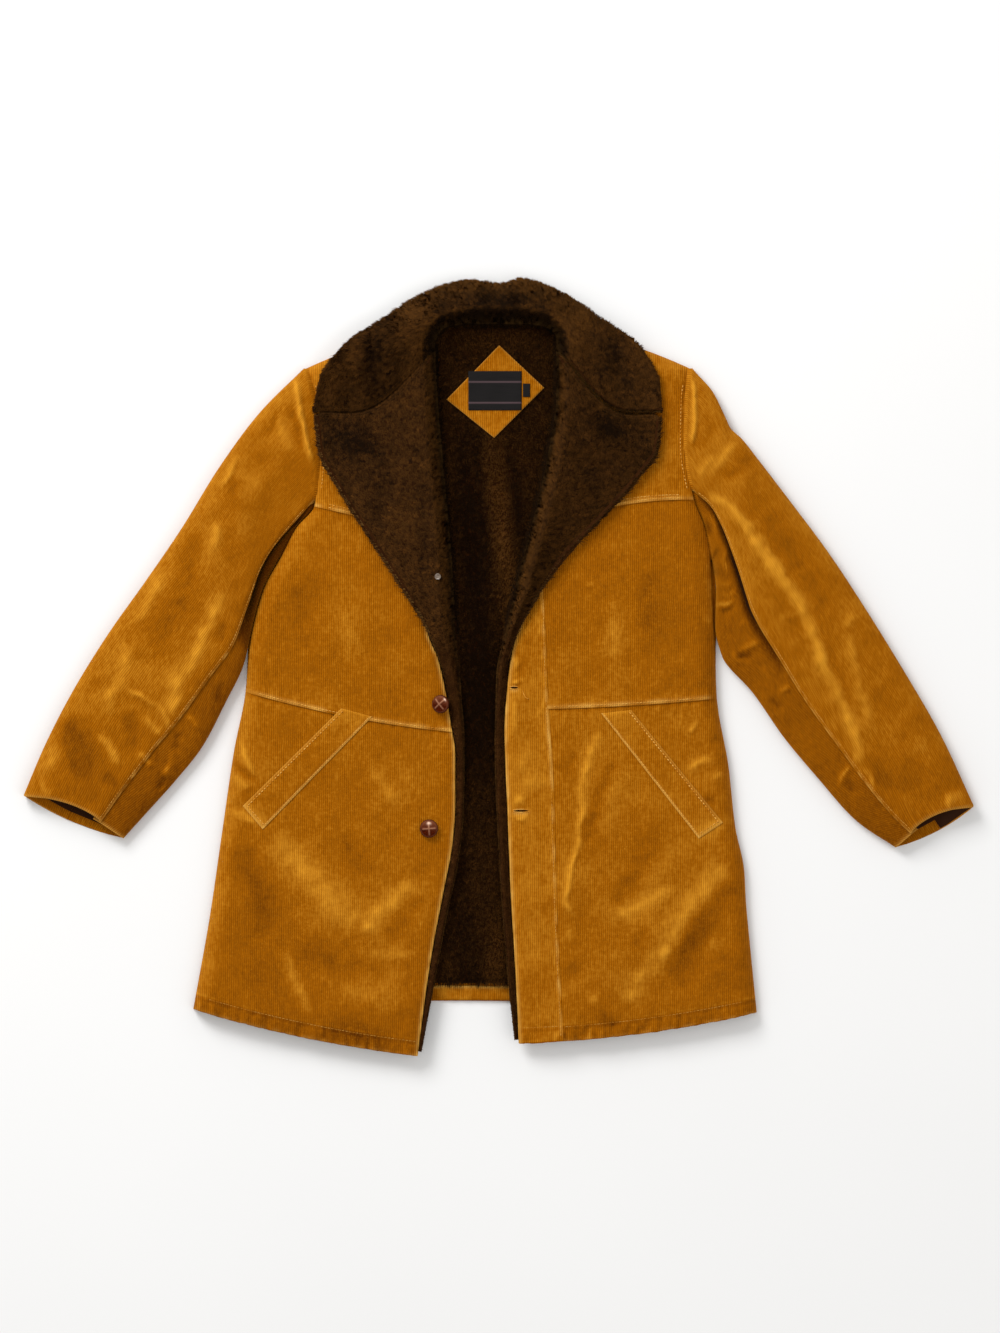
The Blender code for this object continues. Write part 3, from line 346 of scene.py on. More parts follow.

# Creases, listed one by one: the points (x, y) that each runs through, the width of its slope on the
# left and on the right of that run, and its height
Crease = namedtuple("Crease", "path left right height")
CREASES = table(
    Crease,
    # right skirt
    (((-311, -85), (-303, -111), (-291, -136)), 3, 4, 3.2),
    (((-321, -126), (-309, -139), (-299, -151)), 4, 5, 2.2),
    (((-321, -107), (-310, -124), (-291, -139)), 4, 5, -2.0),
    (((-327, -164), (-317, -166), (-304, -173)), 4, 4, -1.8),
    (((-321, -169), (-307, -180), (-289, -194)), 3, 4, 1.4),
    (((-275, -198), (-245, -233), (-202, -276), (-165, -317)), 16, 20, 1.7),
    (((-166, -319), (-132, -285), (-99, -253)), 9, 11, 2.2),
    (((-168, -324), (-161, -314), (-152, -305)), 7, 7, 1.5),
    (((-316, -207), (-299, -244), (-282, -281), (-279, -329)), 13, 14, -2.0),
    (((-191, -194), (-170, -232), (-151, -256)), 12, 13, -1.8),
    (((-162, -112), (-141, -141), (-108, -170)), 9, 10, 1.0),
    (((-241, -333), (-189, -362), (-129, -364)), 16, 14, -1.7),
    (((-167, -342), (-128, -345), (-89, -347)), 8, 8, 1.0),
    (((-258, -336), (-242, -379), (-226, -425)), 6, 8, 1.9),
    (((-197, -386), (-163, -394), (-110, -403)), 14, 14, 0.8),
    (((-90, -272), (-110, -298), (-136, -333)), 10, 12, -1.3),
    # left skirt
    (((120, -74), (107, -115), (99, -146), (97, -190)), 7, 5, 1.9),
    (((99, -167), (94, -215), (82, -255), (81, -282), (91, -305)), 3.5, 4.5, 2.4),
    (((139, -107), (124, -146), (114, -178), (101, -216)), 8, 8, -2.0),
    (((95, -99), (85, -117), (71, -131)), 9, 9, -1.8),
    (((135, -128), (134, -167), (129, -211)), 18, 18, 0.7),
    (((195, -198), (164, -245), (135, -296)), 12, 14, -1.9),
    (((213, -266), (185, -277), (157, -294), (132, -300)), 9, 9, 1.7),
    (((183, -310), (169, -326), (150, -344)), 11, 11, -1.9),
    (((273, -231), (242, -273), (219, -304), (197, -343)), 12, 14, 2.3),
    (((206, -329), (193, -347), (173, -366), (148, -409)), 13, 13, 2.2),
    (((205, -331), (197, -344), (190, -354)), 8, 8, 1.4),
    (((292, -257), (260, -283), (240, -310), (223, -345), (210, -387)), 13, 15, -2.3),
    (((271, -317), (257, -334), (245, -353)), 10, 10, 0.9),
    (((283, -342), (267, -353), (250, -364)), 9, 9, -1.1),
    (((71, -371), (87, -366), (103, -369)), 10, 10, -1.6),
    (((74, -324), (82, -319), (93, -324)), 10, 10, 1.0),
    (((102, -403), (111, -400), (121, -402)), 8, 8, 1.3),
    (((113, -414), (132, -427), (152, -432)), 7, 7, -1.9),
    (((224, -82), (231, -72), (238, -62)), 3, 4, 1.6),
    (((221, -127), (237, -118), (259, -107)), 4, 5, 1.8),
    (((250, -91), (259, -87), (269, -87)), 5, 5, -2.0),
    (((244, -157), (252, -161), (261, -164)), 6, 6, -1.8),
    (((250, -137), (259, -133), (272, -124)), 4, 5, 1.2),
    (((21, -157), (42, -139), (71, -137)), 6, 7, 1.3),
    (((19, -129), (28, -111), (40, -98)), 6, 7, 1.0),
    (((14, -160), (21, -159), (32, -163)), 4, 5, 1.8),
    (((15, -179), (27, -181), (37, -175)), 3, 3, 1.8),
    (((14, -34), (18, -56), (15, -91)), 4, 4, 1.3),
    (((14, 13), (19, 4), (20, -6)), 3, 3, 2.6),
    (((18, -15), (19, -19), (22, -22)), 3, 3, 2.0),
    (((23, 8), (26, -6), (24, -18)), 4, 4, -1.2),
    # chests
    (((135, 88), (137, 44), (133, 0)), 8, 14, 1.0),
    (((182, 122), (176, 79), (178, 36)), 12, 14, -1.1),
    (((100, 92), (108, 97), (116, 101)), 4, 4, 0.7),
    (((-190, 74), (-179, 41), (-176, 6)), 14, 10, 0.9),
    (((-240, 104), (-237, 60), (-226, 16)), 12, 12, -1.1),
    (((246, 150), (251, 95), (250, 40)), 5, 7, 1.2),
    # right shoulder and sleeve
    (((-246, 352), (-239, 306), (-231, 271), (-224, 236)), 2.8, 3.4, 3.8),
    (((-251, 319), (-243, 287), (-236, 252)), 6, 5, -1.5),
    (((-258, 322), (-270, 292), (-285, 272)), 5, 7, -1.5),
    (((-267, 308), (-261, 282), (-246, 252)), 5, 6, 1.0),
    (((-313, 255), (-324, 229), (-340, 209)), 4, 5, 1.9),
    (((-305, 227), (-317, 212), (-322, 191)), 8, 10, -1.8),
    (((-340, 180), (-337, 156), (-343, 127)), 5, 7, 2.0),
    (((-297, 191), (-304, 169), (-308, 143)), 10, 12, 0.9),
    (((-354, 168), (-370, 132), (-377, 89), (-386, 57)), 12, 14, -1.9),
    (((-330, 91), (-347, 52), (-366, 9), (-389, -24), (-396, -60)), 8, 10, 2.6),
    (((-408, 120), (-410, 96), (-423, 70), (-442, 46)), 6, 9, 1.7),
    (((-325, 57), (-333, 40), (-345, 25)), 8, 8, -1.5),
    (((-397, 84), (-395, 57), (-406, 25), (-422, -2)), 10, 12, -1.2),
    (((-456, 36), (-445, 14), (-454, -18), (-468, -45), (-465, -67)), 6, 8, 1.5),
    (((-451, -26), (-428, -37), (-406, -48)), 3, 4, 2.0),
    (((-408, -43), (-400, -60), (-392, -79)), 3, 4, 2.0),
    (((-394, -64), (-386, -44), (-379, -29)), 4, 4, 1.5),
    (((-425, -56), (-415, -72), (-401, -88)), 3, 5, 1.7),
    (((-447, -48), (-440, -78), (-435, -110)), 10, 9, -3.0),
    (((-482, -76), (-468, -98), (-456, -124)), 6, 6, 3.2),
    (((-522, -58), (-508, -92), (-491, -140)), 13, 14, -3.8),
    (((-526, -87), (-536, -109), (-544, -132)), 8, 9, 1.6),
    (((-550, -128), (-545, -146), (-533, -163)), 6, 7, 1.4),
    (((-472, -122), (-467, -137), (-455, -149)), 6, 6, -3.2),
    (((-431, -101), (-424, -112), (-415, -123)), 3, 4, 2.4),
    (((-491, -7), (-485, -23), (-488, -41)), 8, 8, -1.2),
    (((-377, -60), (-369, -64), (-358, -74)), 3, 4, 1.8),
    (((-343, -52), (-337, -34), (-328, -16)), 5, 6, -1.6),
    (((-391, -97), (-394, -116), (-405, -142)), 4, 4, 1.8),
    (((-382, -76), (-386, -90), (-389, -105)), 4, 4, -1.6),
    (((-412, -150), (-405, -143), (-397, -130)), 4, 4, -2.2),
    # left shoulder and sleeve
    (((230, 350), (233, 304), (229, 258)), 3, 2.8, 3.6),
    (((242, 308), (253, 282), (246, 258)), 7, 7, -1.6),
    (((286, 270), (264, 246), (244, 224)), 6, 7, 1.9),
    (((260, 254), (248, 240), (235, 222)), 4, 5, 1.4),
    (((309, 253), (284, 236), (262, 218)), 8, 9, -1.7),
    (((244, 208), (275, 190), (294, 167), (315, 134)), 5, 6, 2.7),
    (((300, 156), (338, 105), (364, 67), (376, 35), (391, -9)), 6, 8, 3.0),
    (((380, 20), (407, -38), (424, -78), (434, -123)), 6, 7, 2.6),
    (((273, 191), (307, 163), (329, 129), (352, 91)), 3, 4, 1.6),
    (((435, 64), (420, 55), (411, 41)), 5, 6, 1.2),
    (((415, 44), (428, -7), (439, -55), (442, -88)), 6, 7, 1.5),
    (((313, 191), (346, 141), (381, 89), (393, 43)), 14, 12, -1.4),
    (((391, 36), (405, -7), (420, -55)), 5, 6, -1.1),
    (((334, 56), (345, 60), (358, 61)), 3, 3, 1.3),
    (((403, -147), (411, -129), (427, -114)), 3, 4, 2.6),
    (((427, -120), (441, -130), (454, -153)), 3, 4, 2.2),
    (((444, -112), (456, -134), (474, -156)), 10, 10, -2.6),
    (((409, -135), (420, -144), (428, -159)), 5, 6, -1.6),
    (((487, -104), (501, -97), (518, -94)), 7, 8, 1.2),
    (((478, -162), (488, -157), (501, -153)), 7, 8, 1.0),
    (((540, -149), (539, -161), (539, -173)), 5, 5, 2.2),
    (((546, -146), (551, -159), (559, -169)), 5, 5, 1.0),
    (((257, 73), (270, 73), (285, 79)), 3, 3, 2.6),
    (((260, 65), (272, 67), (284, 70)), 3, 3, -1.2),
    (((284, 49), (295, 52), (304, 43)), 3, 3, 1.6),
    (((284, 19), (298, 25), (317, 29)), 3, 3, 2.4),
    (((282, 10), (295, 12), (307, 15)), 3.5, 4, -2.0),
    (((278, 21), (283, 12), (291, 2)), 3, 3, 1.6),
    (((314, 1), (319, -9), (329, -19)), 3, 3, 1.4),
    (((333, -34), (341, -29), (350, -25)), 3, 3, 2.2),
    (((322, -39), (330, -44), (338, -55)), 4, 4, -1.6),
    (((245, 185), (257, 174), (263, 158)), 3, 3, 2.0),
    (((249, 179), (252, 164), (260, 148)), 4, 4, -2.0),
    (((256, 127), (257, 116), (256, 105)), 5, 5, -2.6),
    (((267, 148), (271, 137), (267, 127)), 3, 3, 1.4),
    (((257, 100), (268, 96), (282, 100)), 3, 3, 1.3),
    (((265, 132), (270, 122), (278, 107)), 2.6, 2.6, 1.8),
    (((250, 115), (257, 129), (264, 143)), 3, 3, -2.2),
    (((262, 88), (274, 86), (287, 91)), 3, 3, 1.2),
)

# Lighter and darker patches: middle, half length, half width, direction in degrees, tone. On the cloth
# some are the nap's own tone, rubs and a stain, and some are painted light on folds and painted shade in
# the underarms and low on the sleeves
Patch = namedtuple("Patch", "x y length width angle tone")
NAP_AND_PAINTED_LIGHT_PATCHES = table(
    Patch,
    (259, 112, 9, 5, 20, -0.9),
    (268, 76, 14, 3, 15, 0.9),
    (253, 160, 26, 9, 100, 0.7),
    (-178, -439, 36, 13, -6, -1.3),
    (-306, -176, 20, 8, -35, 0.9),
    (-245, -76, 34, 20, -20, -0.35),
    (-200, -420, 150, 40, -8, -0.48),
    (150, -110, 110, 70, 0, 0.2),
    (36, -230, 120, 14, 92, 0.3),
    (136, 41, 46, 8, 90, 0.35),
    (180, 73, 50, 14, 92, -0.45),
    (-186, 31, 40, 16, 80, 0.2),
    (-286, 31, 62, 10, 85, -0.4),
    (254, -194, 20, 7, 35, 1.0),
    (28, -179, 14, 4, 0, 0.7),
    (-498, -131, 60, 50, 0, -0.55),
    (480, -149, 60, 50, 0, -0.45),
    (18, -31, 9, 4, -10, 0.6),
    (-300, -345, 80, 40, 78, -0.55),
    (250, -374, 60, 32, 30, -0.5),
    (190, -250, 60, 40, 40, 0.36),
    (215, 262, 60, 22, 92, 0.3),
)
# Painted light on the lining's folds, and painted shade beside them and below the lapels
LINING_SHADES = table(
    Patch,
    (3, 160, 112, 12, 96, 0.62),
    (-17, 165, 100, 5, 96, -0.25),
    (-34, 150, 130, 13, 94, -0.45),
    (22, 190, 70, 7, 96, -0.3),
    (-3, 396, 62, 12, 0, 0.22),
    (-26, -50, 90, 26, 90, -0.4),
    (-24, -260, 110, 24, 92, 0.08),
    (-3, -342, 60, 11, 86, 0.42),
    (-42, -330, 110, 14, 94, -0.2),
    (-24, -377, 44, 8, 0, -0.2),
)

# Painted shade and light on the pile of collar and lapels, darkest inside the stand and in the crevices;
# and hollows pressed into the pile, which also get painted shade
PILE_SHADES = table(
    Patch,
    (-3, 440, 62, 15, 0, -0.52),
    (-3, 424, 62, 12, 0, -0.3),
    (-71, 408, 34, 7, 78, -0.4),
    (60, 398, 36, 8, 100, -0.4),
    (-180, 262, 44, 26, -25, -0.2),
    (138, 282, 34, 22, -35, -0.2),
    (-148, 380, 50, 22, 80, -0.16),
    (140, 378, 50, 20, 100, -0.16),
    (-205, 330, 30, 24, 60, 0.06),
    (-120, 150, 60, 20, 70, 0.08),
    (90, 170, 60, 18, 115, 0.06),
)
PILE_HOLLOWS = table(
    Fold,
    (-147.6, 382.8, 40, 18, 80, -2.6),
    (-174, 270, 30, 16, -30, -3.2),
    (132, 283, 18, 12, -40, -3.2),
    (171.6, 278, 10, 8, 0, -1.8),
    (135, 377, 36, 16, 100, -2.4),
    (-144, 199, 50, 12, 75, -1.6),
    (-90, 175, 60, 10, 85, -1.6),
    (108, 223, 50, 12, 110, -1.6),
)

# Slanted pocket welts on the skirts: corners as (x, y), upper pair then lower pair
WELTS = {
    "right": (((-190, -50), (-153, -60)), ((-308, -167), (-284, -195))),
    "left": (((157, -52), (121, -56)), ((267, -187), (238, -206))),
}
WELT_WIDTH = 38.0
WELT_LENGTH = 170.0
WELT_FINE = (0, 0.5, 1.2, 2.4, 4.0)
NECK_PATCH = (((-64, 320), (-1, 385)), ((-7, 274), (53, 334)))
LABEL = (((-38, 307), (26, 307)), ((-38, 354), (26, 354)))
SIZE_TAB = (((27.5, 323), (36, 323)), ((27.5, 339), (36, 339)))
LABEL_STRIPES = (341, 316)
LABEL_WALL = 1.2
BUTTON_RADIUS = 11.0
BUTTON_HALF_HEIGHT = 5.0
Button = namedtuple("Button", "x y turn tilt lift")
BUTTONS = {"button_1": Button(-71, -45, 40, -24, 1.5), "button_2": Button(-85, -194, 4, 0, 0)}
BUTTON_STRAND = 0.075  # half width, in the button's radius like the next four
BUTTON_GROOVE = 0.24
BUTTON_GROOVE_HALF = 0.06
BUTTON_ROLL = 0.9
BUTTON_ROLL_HALF = 0.07
BUTTON_DOME = 0.92  # of the half height
BUTTON_HIGHLIGHT_FACING = (0.0, 0.31, 0.95)  # the way a button's face looks where its painted highlight lies
STAY_BUTTON_ROW = 4.0
STAY_BUTTON_REACH = 0.0  # share of the way from crest to edge
STAY_BUTTON_LIFT = 2 * SEAM_GAP + 0.9
STAY_PROFILE = (  # radius and height of its turned section
    (0.0, 0.15), (1.2, 0.2), (2.2, 0.3), (2.7, 0.75), (3.2, 0.9),
    (3.6, 0.75), (3.8, 0.3), (3.7, -0.5), (3.0, -0.9), (0.0, -0.9),
)

# Finer steps of the looks
CLOTH_STEP = 2.6
SEAM_FINE = (0.0, 0.6, 1.5, 2.8, 4.4, 6.6)
LAP_RISE = 0.9
LAP_MIDDLE = 2.5
LAP_WIDTH = 5.0
LAP_DIP = 0.7
DIP_WIDTH = 4.5
LAP_ROUND = 9.0
PLACKET_DIP = 0.4  # of the panels below the placket, in LAP_DIP
PLACKET_RISE = 0.45  # in LAP_RISE
PLACKET_RUN = 305.0  # mean length of a panel along the placket
PLACKET_WIDTH = 54.0
RIM_STEPS = 11
EDGE_SOFT = 1.4
EDGE_WEAR = 0.95
CUFF_WEAR = 0.5
CUFF_FINE = np.array([0.16, 0.12, 0.06, 0.02, 0.0])  # close steps before the cuff, in rings
CUFF_TURN = 5  # rows at a cuff that show corduroy inside
HEM_PUCKER = 0.7
HEM_GROOVE = 2.4
HEM_WAVE = 0.3
WAIST_PUCKER = 0.3
WALE_PITCH = 2.5
LAP = 1.6
LAP_SHARE = 0.09
INNER_STEP = 4  # the unseen inner side of a wall has every fourth point of its face
CREASE_POWER = 1.8  # under 2, a crease has a sharper back than a soft fold
CREASE_CROOK = 1.2
CREASE_SPAN = 2.6  # how far a crease reaches, in its widths
CREASE_FADE = 20.0  # length of its fading ends, or a share of a short crease
CREASE_FADE_SHARE = 0.4
RIDGE_PAINTED_LIGHT = 0.48  # how much of a crease's height shows as painted light on its ridge
# how much of a crease's depth shows as painted shade in its trough
TROUGH_PAINTED_SHADE = 0.34
FULL_WIDTH = 4.5  # mean width up to which a crease keeps its full height
# how much a fold's height shows as painted light where it rises and painted shade where it sinks
FOLD_PAINTED_LIGHT_AND_SHADE = 0.06
PATCH_TONE = 0.75
PAINTED_SHEEN_TONE = 0.5
PAINTED_SLOPE_LIGHT = (0.9, 1.5)  # painted light: how much lighter slopes towards the right sleeve and towards the collar are painted
PAINTED_LIGHT_LIMITS = (-0.5, 0.32)
DARKEST_NAP = -0.95
PALEST_NAP = 1.8
UNDER_SLEEVE_PAINTED_SHADE = (-0.65, -1.45)  # painted shade of an under sleeve: its base and darkest tone
# painted shadow in the slit below the top sleeve's edge
SLIT_PAINTED_SHADOW = 3.0
LIGHT_LEVEL = 1.25  # how bright the studio light makes a white cloth
PILE_DEPTH = 4.2
LOCK = 3.4  # width of a lock of pile whose tufts lean the same way
GORGE_REACH = 3.2  # how far the pile of collar and lapel swells towards each other
NOTCH_COLUMNS = 3  # columns at the outer edge over which that swell fades
SIDE_ALLOWANCE = 4.8  # seam allowance of the back below the underarms
ALLOWANCE_MIDDLE = 95.0
ALLOWANCE_LENGTH = 65.0
STITCH_LIFT = 0.15
SEAM_STITCH = (3.9, 4.3)  # length and pitch of the stitches along seams
TOPSTITCH = (3.6, 3.9)
PLACKET_THREAD = 0.28
PLACKET_HEM_THREAD = 0.24
SLEEVE_THREAD = 0.27
ARMHOLE_THREAD = 0.55
ARMHOLE_STITCHED = (212, 338)  # from y to y
ARMHOLE_INSET = 5.0
WELT_THREADS = (0.66, 0.42, 0.5)  # outer side, inner side, lower end

# Pile of the collar and facings: name, rows, steps along it, seed, tufts, and in columns from the
# foot the end of the painted shadow inside and the place of the painted highlight on the ridge
FOLDED = (
    ("collar", COLLAR_ROWS, 150, 71, 120000, 11.0, 12.0),
    ("right_facing", RIGHT_FACING_ROWS, 220, 81, 100000, 5.0, 7.0),
    ("left_facing", LEFT_FACING_ROWS, 220, 91, 100000, 5.0, 7.0),
)
FOOT_REACH = (5.2, 0.8)  # of the foot inside, where the pile lies and where it hangs
FOOT_DROP = 2.6
TURN_LEVEL = 18.3  # the turn below a front's edge: its top, its lower end and how far it reaches
TURN_END = 10.2
TURN_BELOW = 3.4
TURN_GAP = 1.2
TURN_LEAST = 0.04  # share of the turn that is left where the pile lies
LINING_TUFTS = 110000
LINING_SEED = 62
LINING_START = TURN_SHARE + 0.0045

# How a tuft of pile stands
TUFT_TURN = (0.25, 0.38, 0.4)  # by its place, by its lock, by itself
TUFT_LEAN = (0.6, 0.11, 0.1)  # mean, by its lock, by itself
LEAN_LIMITS = (0.1, 1.0)
TUFT_SHADE = (0.41, 0.04, 0.1, 0.08)  # mean, by its place, by its lock, by itself
SHADE_LIMITS = (0.03, 0.97)
TUFT_LENGTH = (0.86, 1.0)  # least and most share of the pile's depth
TUFT_HALF_WIDTH = (0.56, 0.88)
TUFT_TWIST = 0.9
TUFT_NORMAL = (0.75, 0.35)  # shares of the ground's normal and of its own way in its shading
TUFT_ROLL = 5.0  # how near a border the tufts roll over it
ROLL_SIDES = 0.42
ROLL_ENDS = 0.65
ROOT_INSET = 0.6
LEAST_RISE = 0.35
LOCK_CYCLE = (97, 89)  # locks after which their draws repeat

# Stage, in metres
CAMERA_HEIGHT = 9.0
FRAME_HEIGHT = 1.5996  # what the picture shows from top to bottom, at the floor
SENSOR = 36.0  # in millimetres
FLOOR_SIZE = 9.0
FLOOR_DROP = 0.0004
# Area lights: name, place, size, power
LIGHTS = (("key", (-2.0, 2.6, 2.4), 1.8, 150), ("fill", (1.8, -1.2, 2.6), 2.6, 15))
SKY = (1.0, 0.99, 0.97, 1.0)
SKY_STRENGTH = 0.74


def curve_through(keys, values, at):
    """A curve through a table's points with no overshoot, level past both ends."""
    keys, values = np.asarray(keys, float), np.asarray(values, float)
    steps = np.diff(keys)
    slopes = np.diff(values) / steps
    before, after = slopes[:-1], slopes[1:]
    total = np.where(before * after > 0, before + after, 1.0)
    inner = np.where(before * after > 0, 2 * before * after / total, 0.0)
    tangents = np.concatenate([slopes[:1], inner, slopes[-1:]])
    at = np.clip(at, keys[0], keys[-1])
    i = np.clip(np.searchsorted(keys, at, side="right") - 1, 0, len(steps) - 1)
    t = (at - keys[i]) / steps[i]
    rise = values[i + 1] - values[i]
    start, end = tangents[i] * steps[i], tangents[i + 1] * steps[i]
    return values[i] + t * (start + t * (3 * rise - 2 * start - end + t * (start + end - 2 * rise)))


def column(rows, name, key, by="y"):
    return curve_through([getattr(r, by) for r in rows], [getattr(r, name) for r in rows], key)


def section(rows, position):
    """A row of the table's own kind at places between its rows, counted from 0."""
    places = range(len(rows))
    return type(rows[0])(*(curve_through(places, values, position) for values in zip(*rows)))


def section_linear(rows, position):
    """As section(), with straight steps between the rows."""
    places = range(len(rows))
    return type(rows[0])(*(np.interp(position, places, values) for values in zip(*rows)))


def mix(a, b, share):
    return a + (b - a) * share


def rounded(distance, radius):
    """Height of a quarter-round edge: 0 at the edge, 1 from the radius inwards."""
    short = np.clip(1.0 - np.maximum(distance, 0.0) / radius, 0.0, 1.0)
    return np.sqrt(1.0 - short * short)


def rising(value, start, span):
    """0 up to a start, 1 from a span further on."""
    return np.clip((value - start) / span, 0, 1)


def bell(distance, width, middle=0.0, power=2):
    """A soft bump of height 1 at its middle."""
    return np.exp(-(np.abs((distance - middle) / width) ** power))


def signed_power(value, power):
    return np.copysign(np.abs(value) ** power, value)


def unevenness(x, y, size, seed):
    """Soft waves of about that size, mostly between -1 and 1."""
    draw = np.random.default_rng(seed)
    total = np.zeros(np.broadcast(x, y).shape)
    for turn, shift, stretch in draw.uniform((0, 0, 0.6), (math.tau, math.tau, 1.5), (8, 3)):
        total += np.sin((x * math.cos(turn) + y * math.sin(turn)) * math.tau * stretch / size + shift)
    return total / 3.0


def bumps(rows, x, y):
    """Folds or patches of tone, added up: each row's last column is its height or tone."""
    total = np.zeros(np.broadcast(x, y).shape)
    for row in rows:
        turn = math.radians(row.angle)
        along = (x - row.x) * math.cos(turn) + (y - row.y) * math.sin(turn)
        across = (y - row.y) * math.cos(turn) - (x - row.x) * math.sin(turn)
        total += row[-1] * np.exp(-((along / row.length) ** 2) - (across / row.width) ** 2)
    return total


def crease_height(x, y, as_painted_light=False):
    """The creases, slightly crooked and uneven, each fading to both its ends.
    As painted light they give how much lighter the cloth is painted on their ridges and how much darker
    in their troughs; a broad crease is low for its painted tone."""
    total = np.zeros(np.broadcast(x, y).shape)
    bent_x = x + CREASE_CROOK * unevenness(x, y, 38, 51)
    bent_y = y + CREASE_CROOK * unevenness(x, y, 38, 52)
    for crease in CREASES:
        path = np.array(crease.path, float) - crease.path[0]
        length = math.hypot(*path[-1])
        ahead = path[-1] / length
        bows = path @ (-ahead[1], ahead[0])
        middling = 0.5 * (crease.left + crease.right)
        if as_painted_light:
            # painted light on a ridge, painted shade in a trough
            height = (RIDGE_PAINTED_LIGHT if crease.height > 0 else TROUGH_PAINTED_SHADE) * crease.height
        else:
            height = crease.height * min(1.0, FULL_WIDTH / middling)
        reach = CREASE_SPAN * max(crease.left, crease.right)
        off_x, off_y = bent_x - crease.path[0][0], bent_y - crease.path[0][1]
        share = (off_x * ahead[0] + off_y * ahead[1]) / length
        left = off_y * ahead[0] - off_x * ahead[1]
        near = (share > 0) & (share < 1) & (left > bows.min() - reach) & (left < bows.max() + reach)
        if not near.any():
            continue
        share = share[near]
        left = left[near] - curve_through(path @ ahead / length, bows, share)
        width = np.where(left > 0, crease.left, crease.right)
        ends = min(CREASE_FADE, CREASE_FADE_SHARE * length)
        fade = np.clip(np.minimum(share, 1 - share) * length / ends, 0, 1)
        fade = fade * fade * (3 - 2 * fade)
        total[near] += height * fade * bell(left, width, power=CREASE_POWER)
    return total * (1 + 0.25 * unevenness(x, y, 24, 53))


def cloth_relief(x, y):
    """What creasing and wear do to a panel's height."""
    rumples = 0.35 * unevenness(x, y, 70, 5) + 0.2 * unevenness(x, y, 31, 6)
    return bumps(FOLDS, x, y) + crease_height(x, y) + rumples


def shoulder_y(x):
    middle_x, tip_y = SHOULDER_MIDDLE
    return tip_y + NECK_RISE * (1 - ((x - middle_x) / SHOULDER_HALF_SPAN) ** 2)


def shoulder_row(side, edge):
    side_x, edge_x = side[-1].x, edge[-1].x
    bow = NECK_RISE * ((edge_x - side_x) / 2 / SHOULDER_HALF_SPAN) ** 2
    return FrontRow(shoulder_y(side_x), shoulder_y(edge_x), bow)


Front = namedtuple("Front", "side edge rows")
FRONTS = {
    "right": Front(RIGHT_SIDE, RIGHT_EDGE, (*RIGHT_ROWS, shoulder_row(RIGHT_SIDE, RIGHT_EDGE))),
    "left": Front(LEFT_SIDE, LEFT_EDGE, (*LEFT_ROWS, shoulder_row(LEFT_SIDE, LEFT_EDGE))),
}


def front_height(front, x, y):
    """Top of a front: round at the side and shoulder, soft at the free edge, with its creases."""
    inside = np.abs(x - column(front.side, "x", y))
    z = mix(column(front.side, "seam_z", y), CROWN, rounded(inside, SIDE_ROUND))
    from_edge = np.abs(x - column(front.edge, "x", y))
    z = z - EDGE_DROP * np.maximum(0.0, 1 - from_edge / EDGE_ROLL) ** 2
    z = mix(SHOULDER_Z, z, rounded(shoulder_y(x) - y, SHOULDER_ROUND))
    return z + cloth_relief(x, y) * rounded(inside, FOLD_FADE)


def lap_relief(from_bottom, from_top, laps, goes_under):
    """The lower edge of a panel laps over the panel below it, and its upper edge goes under the next."""
    rise = LAP_RISE * bell(from_bottom, LAP_WIDTH, LAP_MIDDLE) if laps else 0.0
    dip = LAP_DIP * bell(from_top, DIP_WIDTH) if goes_under else 0.0
    return rise - dip


def front_surface(front, across, along):
    """Points of a front: across in millimetres from its side edge, along in its seams from the hem."""
    row = section_linear(front.rows, along)
    side_x, edge_x = column(front.side, "x", row.side_y), column(front.edge, "x", row.edge_y)
    share = across / np.abs(edge_x - side_x)
    x = mix(side_x, edge_x, share)
    y = mix(row.side_y, row.edge_y, share) + row.bow * 4 * share * (1 - share)
    from_hem = (along - HEM) * PANEL_LENGTHS[HEM]
    groove = bell(from_hem, HEM_GROOVE, HEM_STITCH)
    puckers = HEM_PUCKER * unevenness(x, y * 0.3, 15, 9) * bell(from_hem, HEM_STITCH) - groove
    near_waist = bell((along - WAIST) * PANEL_LENGTHS[WAIST], 10)
    puckers = puckers + WAIST_PUCKER * unevenness(x, y * 0.4, 14, 10) * near_waist
    z = front_height(front, x, y) + puckers * rounded(across, SIDE_ROUND)
    y = y - HEM_WAVE * unevenness(x, 0 * x, 16, 12) * bell(from_hem, 5)
    return np.stack([x, y, z], -1)


def front_width(front, along):
    row = section_linear(front.rows, along)
    return np.abs(column(front.edge, "x", row.edge_y) - column(front.side, "x", row.side_y))


def placket_width(front, along):
    y = section_linear(front.rows, along).edge_y
    return np.abs(column(PLACKET_SEAM, "x", y) - column(front.edge, "x", y))


def fine_steps(length, step=CLOTH_STEP, start=SEAM_FINE, end=SEAM_FINE):
    """Distances over a length, close together at its ends."""
    first, last = np.array(start), length - np.array(end)[::-1]
    count = max(2, round((last[0] - first[-1]) / step))
    return np.concatenate([first, np.linspace(first[-1], last[0], count + 1)[1:-1], last])


def round_steps(radius, count):
    """Distances from an edge that sample its quarter round evenly."""
    return radius * (1 - np.cos(np.linspace(0, math.pi / 2, count)))


def gorge_bow(rows, position, share):
    """How far the sections next to the gorge, the seam between collar and lapel, bow down with it."""
    if rows is COLLAR_ROWS:
        bow, from_gorge = GORGE_BOW, np.minimum(position, len(rows) - 1 - position)
    else:
        bow, from_gorge = LAPEL_BOW, position
    fade = np.maximum(0.0, 1 - from_gorge / GORGE_ROWS) ** 2
    return bow * fade * np.maximum(0.0, np.sin(math.pi * share)) ** GORGE_POWER


